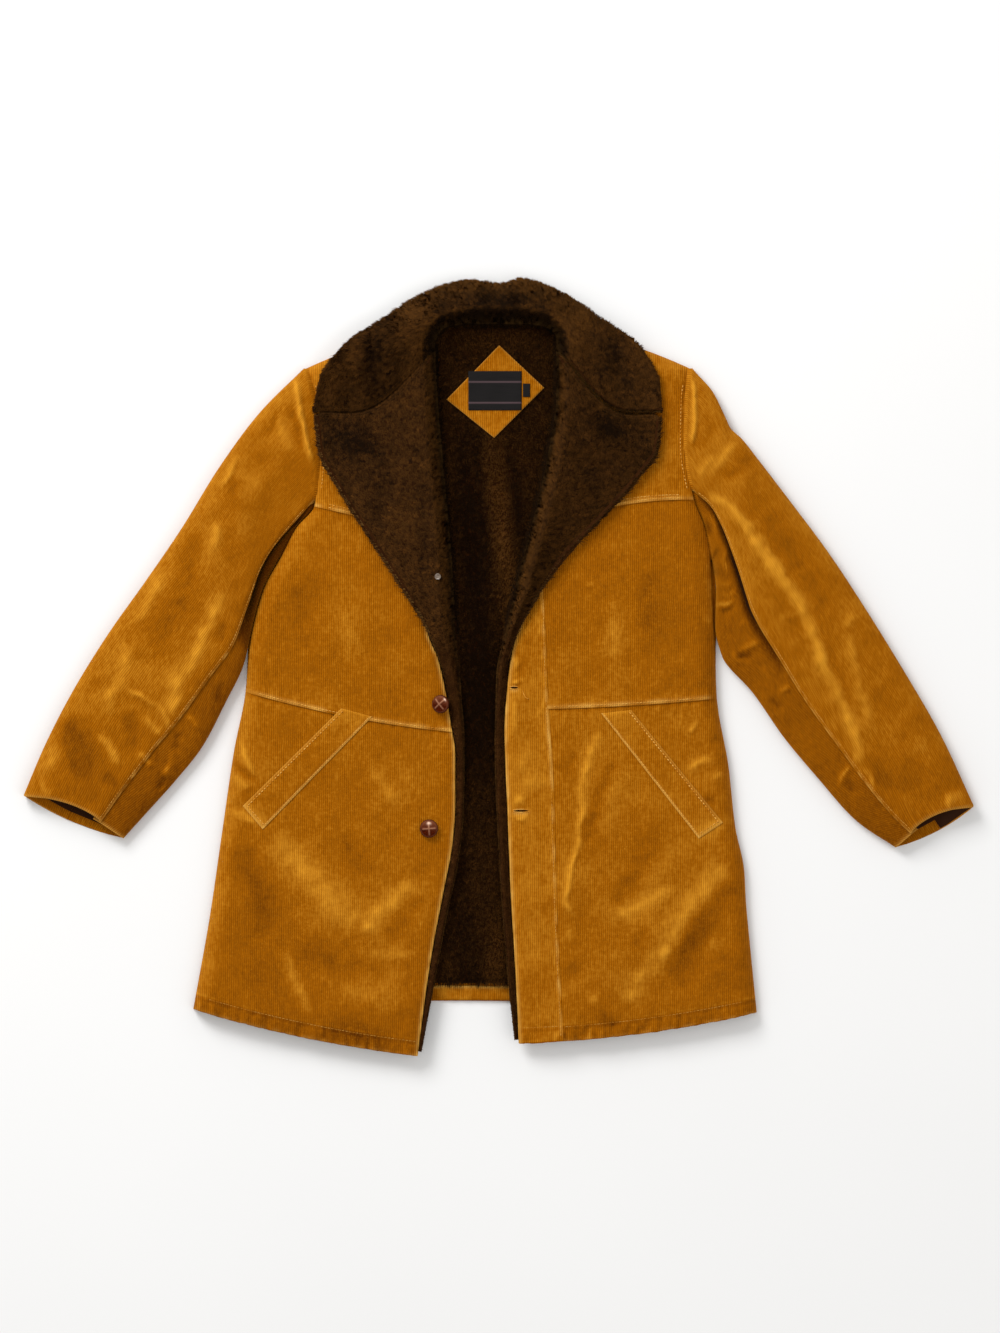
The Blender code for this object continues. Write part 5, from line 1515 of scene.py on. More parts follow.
class Stitches:
    """Many stitches along lines on the cloth, and the slits of the buttonholes, joined as one piece."""

    LENGTH = 3.1
    PITCH = 4.5
    RADIUS = 0.42
    SIDES = 4
    STATIONS = ((0.0, 0.25), (0.25, 0.9), (0.5, 1.0), (0.75, 0.9), (1.0, 0.25))

    def __init__(self):
        self.points, self.faces, self.materials, self.count = [], [], [], 0

    def add(self, points, faces, material):
        self.points.append(points)
        self.faces += [tuple(self.count + i for i in face) for face in faces]
        self.materials += [material] * len(faces)
        self.count += len(points)

    def line(self, points, length=LENGTH, pitch=PITCH, radius=RADIUS):
        """Stitches along a line of points that lies on the cloth."""
        points = np.asarray(points, float)
        run = np.concatenate([[0], np.cumsum(np.linalg.norm(np.diff(points, axis=0), axis=1))])
        for start in np.arange(pitch * 0.3, run[-1] - length, pitch):
            at = start + np.array(self.STATIONS)[:, 0] * length
            path = np.stack([np.interp(at, run, points[:, axis]) for axis in range(3)], 1)
            self.one(path, radius)

    def one(self, path, radius):
        """One stitch: a thread that rises from the cloth and goes back into it."""
        ahead = path[-1] - path[0]
        ahead /= np.linalg.norm(ahead)
        sideways = np.cross((0.0, 0.0, 1.0), ahead)
        sideways /= np.linalg.norm(sideways)
        up = np.cross(ahead, sideways)
        turn = np.linspace(0, math.tau, self.SIDES, endpoint=False) + 0.4
        around = np.outer(np.cos(turn), sideways) + np.outer(np.sin(turn), up)
        rings = []
        for centre, (share, full) in zip(path, self.STATIONS):
            lift = radius * (0.9 * math.sin(math.pi * share) - 0.25)
            rings.append(centre + up * lift + around * radius * full)
        sides, last = self.SIDES, (len(rings) - 1) * self.SIDES
        faces = []
        for ring in range(0, last, sides):
            for side in range(sides):
                a, b = ring + side, ring + (side + 1) % sides
                faces.append((a, b, b + sides, a + sides))
        faces.append(tuple(reversed(range(sides))))
        faces.append(tuple(range(last, last + sides)))
        self.add(np.concatenate(rings), faces, 0)

    def buttonhole(self, surface, start, end, y):
        """A worked buttonhole on a surface: a dark sheet of painted shadow for its slit, between two
        rows of close stitches.
        """
        share = np.linspace(0, 1, 15)
        x = mix(start, end, share)
        half = 0.2 + 1.0 * np.sin(math.pi * share) ** 0.7
        sides = [surface(x, y - half), surface(x, y + half)]
        edges = [np.stack(side, 1) + (0, 0, 0.16) for side in sides]
        below = [edge - (0, 0, 0.3) for edge in edges]
        rim = len(x)
        faces = []
        for i in range(rim - 1):
            faces.append((i, i + 1, rim + i + 1, rim + i))
            faces.append((2 * rim + i, 3 * rim + i, 3 * rim + i + 1, 2 * rim + i + 1))
            faces.append((i, 2 * rim + i, 2 * rim + i + 1, i + 1))
            faces.append((rim + i, rim + i + 1, 3 * rim + i + 1, 3 * rim + i))
        for i in (0, rim - 1):
            end_face = (i, rim + i, 3 * rim + i, 2 * rim + i)
            faces.append(end_face if i == 0 else end_face[::-1])
        self.add(np.concatenate(edges + below), faces, 1)
        for at in np.arange(start - 0.6, end + 0.7, 0.85):
            for side, reach in ((-1, 2.1), (1, 1.6)):
                near = np.interp(at, x, half) * 0.8
                across = y + side * np.linspace(near, near + reach, 5)
                self.one(raised(np.stack(surface(np.full(5, at), across), 1)), 0.34)

    def make(self, name):
        points, threads = np.concatenate(self.points), (thread, buttonhole_shade)
        return new_piece(name, points, self.faces, threads, self.materials)


def back_surface(inset, z, share, along):
    """Points of the back: share across it within an inset at both sides, along from hem to shoulder."""
    right_y = mix(RIGHT_SIDE[0].y, RIGHT_SIDE[-1].y, along)
    left_y = mix(LEFT_SIDE[0].y, LEFT_SIDE[-1].y, along)
    right_x, left_x = column(RIGHT_SIDE, "x", right_y), column(LEFT_SIDE, "x", left_y)
    x = mix(right_x + inset, left_x - inset, share)
    across = (x - right_x) / (left_x - right_x)
    allowance = np.where(inset == 0, SIDE_ALLOWANCE, 0)
    allowance = allowance * bell(right_y, ALLOWANCE_LENGTH, ALLOWANCE_MIDDLE)
    x = x + allowance * (2 * share - 1)
    bow = mix(BACK_HEM_BOW, NECK_RISE, along**2) * 4 * across * (1 - across)
    y = mix(right_y, left_y, across) + bow
    return np.stack([x, y, np.broadcast_to(z, x.shape)], -1)


def make_back():
    """The back on the floor, its hem turned up inside."""
    share, along = np.meshgrid(np.linspace(0, 1, 71), fine_steps(BACK_LENGTH, 10.0) / BACK_LENGTH)
    top, materials = back_surface(0, CLOTH, share, along), (corduroy, corduroy)
    back = cloth_wall("back_cloth", top, CLOTH, materials, (10, 10), nap=-0.2, step=2)
    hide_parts("back")

    share, along = np.meshgrid(np.linspace(0, 1, 181), TURN_SHARE * np.linspace(0.05, 1, 13))
    top = back_surface(LINING_INSET, 2 * CLOTH + SEAM_GAP, share, along)
    x, y = top[..., 0].copy(), top[..., 1].copy()
    top[..., 2] += 0.35 * unevenness(x, y * 0.5, 22, 21)
    top[..., 1] += 0.6 * unevenness(x, 0 * y, 30, 22) * along / TURN_SHARE
    wear = EDGE_WEAR * bell((TURN_SHARE - along) * BACK_LENGTH, 2.6)
    nap = 0.2 + 0.3 * unevenness(x, y, 26, 23)
    top = soften(top, normals_of(top, (5, 20)), 1.2, ("bottom", "top"))
    hem = cloth_wall(
        "back_hem_turn_cloth", top, CLOTH - 0.3, materials, (5, 20), nap=nap, wear=wear
    )
    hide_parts("back_hem_turn")


def panel_width(side, along):
    """Width of a front's panels; on the left they end just under the placket."""
    front = FRONTS[side]
    width = front_width(front, along)
    if side == "left":
        width = width - np.where(along < PLACKET_TOP, placket_width(front, along) - LAP, 0)
    return width


def make_panel(side, panel, seams):
    """Skirt, chest or yoke of a front, its lower edge lapped over the panel below."""
    front, laps, name = FRONTS[side], panel.first != HEM, f"{side}_front_{panel.name}"
    length = PANEL_LENGTHS[panel.first]
    lap = LAP if laps else 0.0
    run = fine_steps(lap + length)
    along = panel.first + (run - lap) / np.where(run < lap, PANEL_LENGTHS[panel.first - 1], length)
    along, from_bottom = along[:, None], run[:, None]
    from_top = lap + length - from_bottom
    inner = panel_width(side, along)
    count = round((inner.max() - SIDE_ROUND - FREE_EDGE[0]) / CLOTH_STEP)
    middle = mix(SIDE_ROUND, inner - FREE_EDGE[0], np.linspace(0, 1, count + 1)[1:-1])
    rim = round_steps(SIDE_ROUND, RIM_STEPS) + 0 * along
    across = np.concatenate([rim, middle, inner - FREE_EDGE], 1)
    from_edge = inner - across
    top = front_surface(front, across, along + 0 * across)
    under_placket = (along < PLACKET_TOP) & (side == "left")
    relief = lap_relief(from_bottom, from_top, laps, panel.last != SHOULDER)
    relief = relief - np.where(under_placket, PLACKET_DIP * LAP_DIP * bell(from_edge, DIP_WIDTH), 0)
    top[..., 2] += relief * rounded(across, SIDE_ROUND)
    x, y = top[..., 0], top[..., 1]
    inside = np.abs(x - column(front.side, "x", y))
    share = np.minimum(rounded(inside, SIDE_ROUND), rounded(shoulder_y(x) - y, SHOULDER_ROUND))
    share = mix(RIM_SHARE, 1, share)
    if laps:
        share = share * mix(LAP_SHARE, 1, rounded(from_bottom, LAP_ROUND))
    frayed = fraying(x, y, 14)
    nap = painted_light_and_nap(top, (5, 20), panel.nap)
    wear = np.zeros(x.shape)
    if laps:
        rubbed = np.clip(0.5 + 0.35 * unevenness(x, y, 34, 19), 0, 1)
        wear += rubbed * bell(from_bottom, 2.2, 2.2)
    else:
        streaks = 0.25 * unevenness(x, y * 0.25, 5, 16) + 0.35 * unevenness(x, y * 0.5, 14, 17)
        nap += (streaks - 0.4) * bell(from_bottom, 0.85 * HEM_STITCH, power=4)
        nap += frayed * hem_tone(from_bottom, 1.5, 0.8)
        wear += 0.55 * np.clip(frayed - 0.45, 0, 1) * bell(from_bottom, 2.6)
    if panel.last != SHOULDER:
        # painted shadow just below the next panel's lapped edge
        nap -= 0.8 * frayed * bell(from_top, 2.4, 2.6)
    if side == "right":
        wear += frayed * edge_rub_and_sheen(from_edge)
    borders = (["right"] if side == "right" else []) + (["bottom"] if not laps else [])
    top = soften(top, normals_of(top, (5, 20)), EDGE_SOFT, borders)
    materials = (corduroy, pile_ground)
    made = cloth_wall(
        f"{name}_cloth", top, LINED_FRONT * share, materials, (5, 20), nap=nap, wear=wear
    )
    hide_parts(name)
    for distance in panel.stitch_rows:
        row = np.argmin(np.abs(run - distance))
        seams.line(raised(top[row, 8:-3]), *SEAM_STITCH, panel.thread)


def make_placket(seams):
    """The strip with the buttonholes down the left front's edge, lapped over its panels."""
    front = FRONTS["left"]
    along = (fine_steps(PLACKET_TOP * PLACKET_RUN) / PLACKET_RUN)[:, None]
    width, wide = front_width(front, along), placket_width(front, along)
    from_seam = np.concatenate([SEAM_FINE, np.linspace(9, 40, 13)])
    from_seam = np.concatenate([from_seam / PLACKET_WIDTH * wide, wide - FREE_EDGE[1:]], 1)
    from_edge = wide - from_seam
    top = front_surface(front, width - from_edge, along + 0 * from_edge)
    top[..., 2] += PLACKET_RISE * LAP_RISE * bell(from_seam, LAP_WIDTH, LAP_MIDDLE)
    wall = LINED_FRONT * mix(LAP_SHARE, 1, rounded(from_seam, LAP_ROUND))
    x, y = top[..., 0], top[..., 1]
    frayed = fraying(x, y, 15)
    wear = frayed * edge_rub_and_sheen(from_edge)
    rubbed = 0.14 + 0.3 * unevenness(x, y, 21, 18) + 0.6 * bell(y, 36, -93)
    wear += np.clip(rubbed, 0, 1) * bell(from_seam, 2.0, 1.8)
    for start, end, hole_y in BUTTONHOLES:
        middle = bell(x, 0.55 * (end - start), 0.5 * (start + end), 4)
        wear += 0.6 * middle * bell(y, 1.9, hole_y - 3.0)
    top = soften(top, normals_of(top, (5, 8)), EDGE_SOFT, ("right", "bottom"))
    nap = painted_light_and_nap(top, (5, 8), 0.15)
    nap += 0.6 * np.clip(unevenness(x, y * 0.15, 4, 31), 0, 1) * bell(from_seam, 9, 5)
    from_hem = along * PANEL_LENGTHS[HEM]
    nap += frayed * hem_tone(from_hem, 0.9, 0.7)
    materials = (corduroy, pile_ground)
    made = cloth_wall(
        "left_front_placket_cloth", top, wall, materials, (5, 8), nap=nap, wear=wear
    )
    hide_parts("left_front_placket")
    seams.line(raised(top[4:-8, 3]), *SEAM_STITCH, PLACKET_THREAD)
    hem_row = np.argmin(np.abs(from_hem[:, 0] - HEM_STITCH))
    seams.line(raised(top[hem_row, 4:-4]), *SEAM_STITCH, PLACKET_HEM_THREAD)

    def placket_face(x, y):
        return x, y, front_height(front, x, y)

    for start, end, y in BUTTONHOLES:
        seams.buttonhole(placket_face, start, end, y)
    loose = np.stack(placket_face(*np.array(LOOSE_THREAD).T), 1)
    seams.one(raised(loose, 0.3), LOOSE_THREAD_RADIUS)


def make_armhole_stitches(side, seams):
    """Stitches on the body beside the armhole."""
    front, inwards = FRONTS[side], 1 if side == "right" else -1
    y = np.linspace(*ARMHOLE_STITCHED, 90)
    x = column(front.side, "x", y) + inwards * ARMHOLE_INSET
    seams.line(raised(np.stack([x, y, front_height(front, x, y)], 1)), radius=ARMHOLE_THREAD)


def make_sleeve(side, seams):
    """Two-piece sleeve beside the body, its top piece lapping over the under piece."""
    sleeve = SLEEVES[side]
    last = len(sleeve.rings) - 1
    position = np.concatenate([np.linspace(0, last - CUFF_FINE[0], 231), last - CUFF_FINE[1:]])
    turned_in = CUFF_TURN if side == "right" else 0
    lip = round_steps(LIP, 9)[:-1]
    turn = np.concatenate([np.linspace(0, 0.72, 70), np.linspace(0.72, 1, 20)[1:]])
    top = tucked(sleeve, top_sleeve(sleeve, position, lip, turn, np.linspace(0, 1, 6)[1:]))
    across, along = run_lengths(top)
    grain = np.stack([across - across[:, 36:37], along], -1)
    rubbed = np.clip(0.28 + 0.34 * unevenness(top[..., 0], top[..., 1], 18, 21), 0, 1)
    wear = rubbed * bell(across, 1.6, 1.4)
    wear += CUFF_WEAR * bell(along[-1:] - along, 2.5)
    top = soften(top, normals_of(top, (60, 30)), 1.0, ("top",))
    wall = np.full(top.shape[:2], LINED_SLEEVE)
    wall[:, : len(lip)] = LINED_SLEEVE * mix(RIM_SHARE, 1, lip / LIP)
    nap = painted_light_and_nap(top, (60, 30), 0.05)
    materials = (corduroy, sleeve_lining)
    made = cloth_wall(
        f"{side}_sleeve_top_cloth", top, wall, materials, (60, 30),
        grain, nap, wear, turned_in,
    )
    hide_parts(f"{side}_sleeve_top")
    seams.line(raised(top[8:-2, 4], 0.1), *SEAM_STITCH, SLEEVE_THREAD)

    under, sunk = under_sleeve(side, position, np.linspace(0, 1, 6), np.linspace(0, 1, 44)[1:])
    under = tucked(sleeve, under)
    sunk = np.concatenate([sunk[:1], sunk[:1], sunk])
    across, along = run_lengths(under)
    grain = np.stack([across, along], -1)
    wear = CUFF_WEAR * bell(along[-1:] - along, 2.5)
    # Painted shade on the under sleeve, painted shadow in the slit below the top sleeve's edge, and
    # below it painted shade deep in the right underarm
    nap = painted_light_and_nap(under, (60, -2), *UNDER_SLEEVE_PAINTED_SHADE) - SLIT_PAINTED_SHADOW * sunk
    if side == "right":
        nap = nap - UNDERARM_SHADE * np.clip(1 - along / UNDERARM_REACH, 0, 1) ** 0.5
    made = cloth_wall(
        f"{side}_sleeve_under_cloth", under, UNDER_SLEEVE, materials, (60, -2),
        grain, nap, wear, CUFF_TURN,
    )
    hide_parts(f"{side}_sleeve_under")


def tucked(sleeve, points):
    """Adds the seam allowance at the armhole, which lies under the edge of the body."""
    head = points[0].copy()
    head[:, 0] -= sleeve.outward * (ARMHOLE_GAP + TUCK_IN)
    head[:, 2] = np.maximum(np.minimum(head[:, 2], CLOTH + 0.5), head[:, 2] - TUCK_DOWN)
    between = mix(head, points[0], 0.5)
    return np.concatenate([head[None], between[None], points])


def footed(face, rows, position):
    """Adds to a fold its foot inside, its ends that swell towards the gorge, and where it hangs its
    turn below the edge of the front. Returns the grid and the place along the rows of each line."""
    is_facing = rows is not COLLAR_ROWS
    row = section(rows, position[:, None])
    inwards = face[:, :1] - face[:, -1:]
    inwards[..., 2] = 0
    inwards = inwards / np.linalg.norm(inwards, axis=-1, keepdims=True)
    foot = mix(*FOOT_REACH, is_facing * rising(row.hang, 0.3, 0.4))[..., None]
    columns = [face[:, :1] + inwards * foot - (0, 0, FOOT_DROP), face]
    if is_facing:
        edge, outward = (RIGHT_EDGE, -1) if rows is RIGHT_FACING_ROWS else (LEFT_EDGE, 1)
        gap = (column(edge, "x", row.edge_y) - row.edge_x) * outward
        weight = np.maximum(rising(row.hang, 0.1, 0.25) * rising(gap, -1.5, 3), TURN_LEAST)
        gap = np.maximum(gap, TURN_GAP)
        below = gap - 0.4 + TURN_BELOW * rising(row.hang, 0.6, 0.3)
        level = np.minimum(row.edge_z, TURN_LEVEL)
        for out, z in ((0.5 * gap, level), (gap - 0.4, level - 0.8), (below, TURN_END)):
            step = -inwards * (out * weight)[..., None]
            step[..., 2] = (z - row.edge_z) * weight
            columns.append(face[:, -1:] + step)
    grid = np.concatenate(columns, 1)
    first, last = grid[:1] - grid[1:2], grid[-1:] - grid[-2:-1]
    from_edge = np.arange(grid.shape[1])[::-1] - (3 if is_facing else 0)
    reach = GORGE_REACH * np.clip(from_edge / NOTCH_COLUMNS, 0.1, 1)[:, None]
    first = first / np.linalg.norm(first, axis=-1, keepdims=True) * reach
    last = last / np.linalg.norm(last, axis=-1, keepdims=True) * reach
    sunk = np.array((0, 0, GORGE_REACH))
    lines = [grid[:1] + first - sunk, grid[:1] + 0.7 * first, grid]
    places = [position[:1], position[:1], position]
    if not is_facing:
        lines += [grid[-1:] + 0.7 * last, grid[-1:] + last - sunk]
        places += [position[-1:], position[-1:]]
    return np.concatenate(lines), np.concatenate(places)


def make_folded(name, rows, count, seed, tufts, dark, ridge):
    """Collar or facing: a ground, and the nap on it, whose tips reach the solid's face."""
    stand = np.linspace(0, 1, 12)
    fall = np.linspace(0, 1, 30)[1:] ** 0.9
    position = np.linspace(0, len(rows) - 1, count)
    face, position = footed(fall_surface(rows, stand, fall, position), rows, position)
    row = section(rows, position[:, None])
    pile = np.minimum(PILE_DEPTH, 0.75 * row.wall)
    up_at = (count // 3, 30)
    normals = normals_of(face, up_at)
    hollow = bumps(PILE_HOLLOWS, face[..., 0], face[..., 1]) * row.wall / PILE
    face = face + normals * hollow[..., None]
    ground = face - normals * pile[..., None]
    wall = np.maximum(row.wall - pile - 0.8, 0.35) + 0 * hollow
    from_foot = np.arange(face.shape[1]) - 1.0
    # painted shadow inside the fold near its foot, on the ground and on the tufts
    inside = np.clip(1 - from_foot / dark, 0, 1) ** 0.5 * np.clip(row.wall / 5, 0, 1)
    materials = (pile_ground, pile_ground)
    backing = cloth_wall(f"{name}_ground", ground, wall, materials, up_at, wear=inside, step=2)
    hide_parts(name)
    # Painted light and shade of the pile: painted shade in its hollows, painted shadow inside the fold,
    # a painted highlight along the ridge, lighter where it hangs, and the painted patches
    crest = 0.14 * bell(from_foot, 1.4, ridge)
    shading = 0.08 * hollow - 0.62 * inside + crest + 0.18 * row.hang
    shading = shading + bumps(PILE_SHADES, face[..., 0], face[..., 1])
    nap = grow_nap(f"{name}_nap", face, normals, pile + 0 * hollow, tufts, seed, shading)


def grow_nap(name, face, normals, depth, tufts, seed, shading, keep=None):
    """Tufts of pile as narrow blades, their tips within the face that the points give."""
    draw = np.random.default_rng(seed)
    columns = face.shape[1]
    sides = np.cross(face[1:, 1:] - face[:-1, :-1], face[1:, :-1] - face[:-1, 1:])
    area = np.linalg.norm(sides, axis=-1)
    if keep is not None:
        area = area * keep[:-1, :-1]
    cell = draw.choice(area.size, tufts, p=area.ravel() / area.sum())
    r, c = np.divmod(cell, columns - 1)
    u, v = draw.random(tufts), draw.random(tufts)
    weights = ((1 - u) * (1 - v), u * (1 - v), (1 - u) * v, u * v)

    def at(values):
        corners = (values[r, c], values[r, c + 1], values[r + 1, c], values[r + 1, c + 1])
        if values.ndim == 2:
            return sum(corner * weight for corner, weight in zip(corners, weights))
        return sum(corner * weight[:, None] for corner, weight in zip(corners, weights))

    def unit(vectors):
        return vectors / np.maximum(np.linalg.norm(vectors, axis=1, keepdims=True), 1e-9)

    place, normal, deep = at(face), unit(at(normals)), at(depth)
    across, along = unit(face[r, c + 1] - face[r, c]), unit(face[r + 1, c] - face[r, c])
    x, y = place[:, 0], place[:, 1]
    clump, swirl = unevenness(x, y, 13, seed + 3), unevenness(x, y, 46, seed + 4)
    lock_x = np.floor((x + 1.2 * clump) / LOCK).astype(int)
    lock_y = np.floor((y + 1.2 * swirl) / LOCK + 0.5 * (lock_x % 2)).astype(int)
    locks = draw.normal(0, 1, (3, *LOCK_CYCLE))[:, lock_x % LOCK_CYCLE[0], lock_y % LOCK_CYCLE[1]]
    lock_shade, lock_turn, lock_lean = locks
    by_place, by_lock, alone = TUFT_TURN
    heading = -math.pi / 2 + by_place * swirl + by_lock * lock_turn + draw.normal(0, alone, tufts)
    mean, by_lock, alone = TUFT_LEAN
    lean = np.clip(mean + by_lock * lock_lean + draw.normal(0, alone, tufts), *LEAN_LIMITS)[:, None]
    sway = across * np.cos(heading)[:, None] + along * np.sin(heading)[:, None]
    ahead = normal * np.cos(lean) + sway * np.sin(lean)
    root = place - normal * deep[:, None]
    ends = ((-across, ROLL_SIDES), (across, ROLL_SIDES), (-along, ROLL_ENDS), (along, ROLL_ENDS))
    for distance, (outwards, most) in zip(border_distances(face), ends):
        distance = at(distance)
        roll = most * np.clip(1 - distance / TUFT_ROLL, 0, 1)[:, None]
        ahead = ahead * (1 - roll) + outwards * roll
        root = root - outwards * np.clip(deep * ROOT_INSET - distance, 0, None)[:, None]
    ahead = unit(ahead)
    length = deep * draw.uniform(*TUFT_LENGTH, tufts)
    rise = np.maximum((ahead * normal).sum(1), LEAST_RISE)
    tip = root + ahead * (length / rise)[:, None]
    flat = unit(np.cross(ahead, normal))
    twist = draw.uniform(-TUFT_TWIST, TUFT_TWIST, tufts)[:, None]
    wide = flat * np.cos(twist) + np.cross(ahead, flat) * np.sin(twist)
    turned = (np.cross(wide, ahead) * normal).sum(1, keepdims=True) < 0
    wide = np.where(turned, -wide, wide)
    half = (draw.uniform(*TUFT_HALF_WIDTH, tufts) * np.clip(deep / 4.0, 0.5, 1.0))[:, None]
    points = np.stack([root - wide * half, root + wide * half, tip], 1).reshape(-1, 3)
    points[:, 2] = np.maximum(points[:, 2], CLOTH + SEAM_GAP)
    piece = new_piece(name, points, np.arange(3 * tufts).reshape(-1, 3), (pile_nap,))
    mean, by_place, by_lock, alone = TUFT_SHADE
    shade = mean + by_place * clump + by_place * swirl + by_lock * lock_shade + at(shading)
    shade = np.clip(shade + draw.normal(0, alone, tufts), *SHADE_LIMITS)
    shade = np.stack([shade - 0.002, shade + 0.002, shade], 1)
    reach = np.tile((0.02, 0.02, 0.98), (tufts, 1))
    add_map(piece, "OFBake", np.stack([shade, reach], -1).reshape(-1, 2))
    bent = unit(np.repeat(normal * TUFT_NORMAL[0] + ahead * TUFT_NORMAL[1], 3, axis=0))
    piece.data.normals_split_custom_set(bent.tolist())
    return piece


def make_lining():
    """Pile lining on the back, seen between the fronts."""
    share, along = np.meshgrid(np.linspace(0, 1, 131), np.linspace(LINING_START, LINING_END, 160))
    inset = curve_through(LINING_NARROWS, (LINING_INSET, LINING_NECK_INSET), along)
    face = back_surface(inset, LINING_TOP, share, along)
    x, y = face[..., 0], face[..., 1]
    face[..., 2] = lining_height(x, y)
    normals = normals_of(face, (10, 10))
    depth = np.full(x.shape, PILE_DEPTH)
    lumps = 0.5 * np.abs(unevenness(x, y, 18, 61))
    ground = face - normals * (depth + lumps)[..., None]
    wall = np.maximum(PILE - depth - lumps - 0.3, 1.0)
    materials = (pile_ground, pile_ground)
    backing = cloth_wall("back_lining_ground", ground, wall, materials, (10, 10))
    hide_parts("back_lining")
    shown = (x > column(RIGHT_EDGE, "x", y) - 30) & (x < column(LEFT_EDGE, "x", y) + 30)
    # painted light on the lining's folds and painted shade beside them
    shading = -0.1 + bumps(LINING_SHADES, x, y)
    shown = shown.astype(float)
    nap = grow_nap(
        "back_lining_nap", face, normals, depth, LINING_TUFTS, LINING_SEED, shading, shown
    )


def make_welt(side, seams):
    """A slanted pocket welt, flat on its skirt, stitched down along its sides and lower end."""
    corners, front = WELTS[side], FRONTS[side]
    share = fine_steps(WELT_WIDTH, start=WELT_FINE, end=WELT_FINE) / WELT_WIDTH
    share, along = np.meshgrid(share, fine_steps(WELT_LENGTH) / WELT_LENGTH)

    def skirt(x, y):
        return front_height(front, x, y)

    top = patch_surface(corners, skirt, 0.0, share, along)
    x, y = top[..., 0], top[..., 1]
    from_side = np.minimum(share, 1 - share) * WELT_WIDTH
    from_end = np.minimum(along, 1 - along) * WELT_LENGTH
    thick = mix(0.3, 1.5, rounded(np.minimum(from_side, from_end), 5.0))
    seam = bell(from_side, 1.2, 2.8)
    top[..., 2] += 0.5 + thick - 0.3 * seam + 0.2 * unevenness(x, y, 24, 31)
    lower_end = (1 - along) * WELT_LENGTH
    nap = painted_light_and_nap(top, (5, 5), 0.1) + 0.7 * bell(lower_end, 12)
    nap += 0.4 * bell(along * WELT_LENGTH, 20)
    wear = mix(0.25, 0.8, share) * bell(from_side, 1.7, 0.8) + 0.6 * bell(lower_end, 3.0)
    materials = (corduroy, corduroy)
    made = cloth_wall(
        f"{side}_pocket_welt_cloth", top, thick * 0.85, materials, (5, 5), nap=nap, wear=wear
    )
    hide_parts(f"{side}_pocket_welt")
    outer, inner, lower = WELT_THREADS
    seams.line(raised(top[2:-2, 4], 0.25), radius=outer)
    seams.line(raised(top[2:-2, -4]), *TOPSTITCH, inner)
    seams.line(raised(top[-5, 3:-3], 0.2), radius=lower)


def make_patches():
    """The diamond with the bare label and tab in the back neck."""
    lift = SEAM_GAP + CLOTH
    label_lift = lift + SEAM_GAP + LABEL_WALL
    for name, corners, piece_lift, wall, material, slot, count in (
        ("neck_patch", NECK_PATCH, lift, CLOTH, corduroy, "corduroy", 40),
        ("neck_label", LABEL, label_lift, LABEL_WALL, label_cloth, "label", 60),
        ("size_tab", SIZE_TAB, label_lift, LABEL_WALL, label_cloth, "label", 12),
    ):
        steps = np.concatenate([[0, 0.012, 0.03], np.linspace(0.06, 0.94, count), [0.97, 0.988, 1]])
        share, along = np.meshgrid(steps, steps)
        top = patch_surface(corners, lining_height, piece_lift, share, along)
        top[..., 2] += 0.25 * unevenness(top[..., 0], top[..., 1], 30, 41)
        top = soften(top, normals_of(top, (5, 5)), wall * 0.6, ("left", "right", "bottom", "top"))
        if name == "neck_patch":
            wear = 0.45 * sum(bell(distance, 1.3) for distance in border_distances(top))
        elif name == "neck_label":
            wear = 0.6 * sum(bell(top[..., 1], 0.9, y) for y in LABEL_STRIPES)
        else:
            wear = 0.0
        materials = (material, material)
        made = cloth_wall(f"{name}_weave", top, wall, materials, (5, 5), nap=0.2, wear=wear)
        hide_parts(name)


def turned_faces(rings, spokes):
    """Four-sided faces between rings of points round an axis."""
    at = np.arange(rings * spokes).reshape(rings, spokes)
    return grid_faces(np.concatenate([at, at[:, :1]], 1))


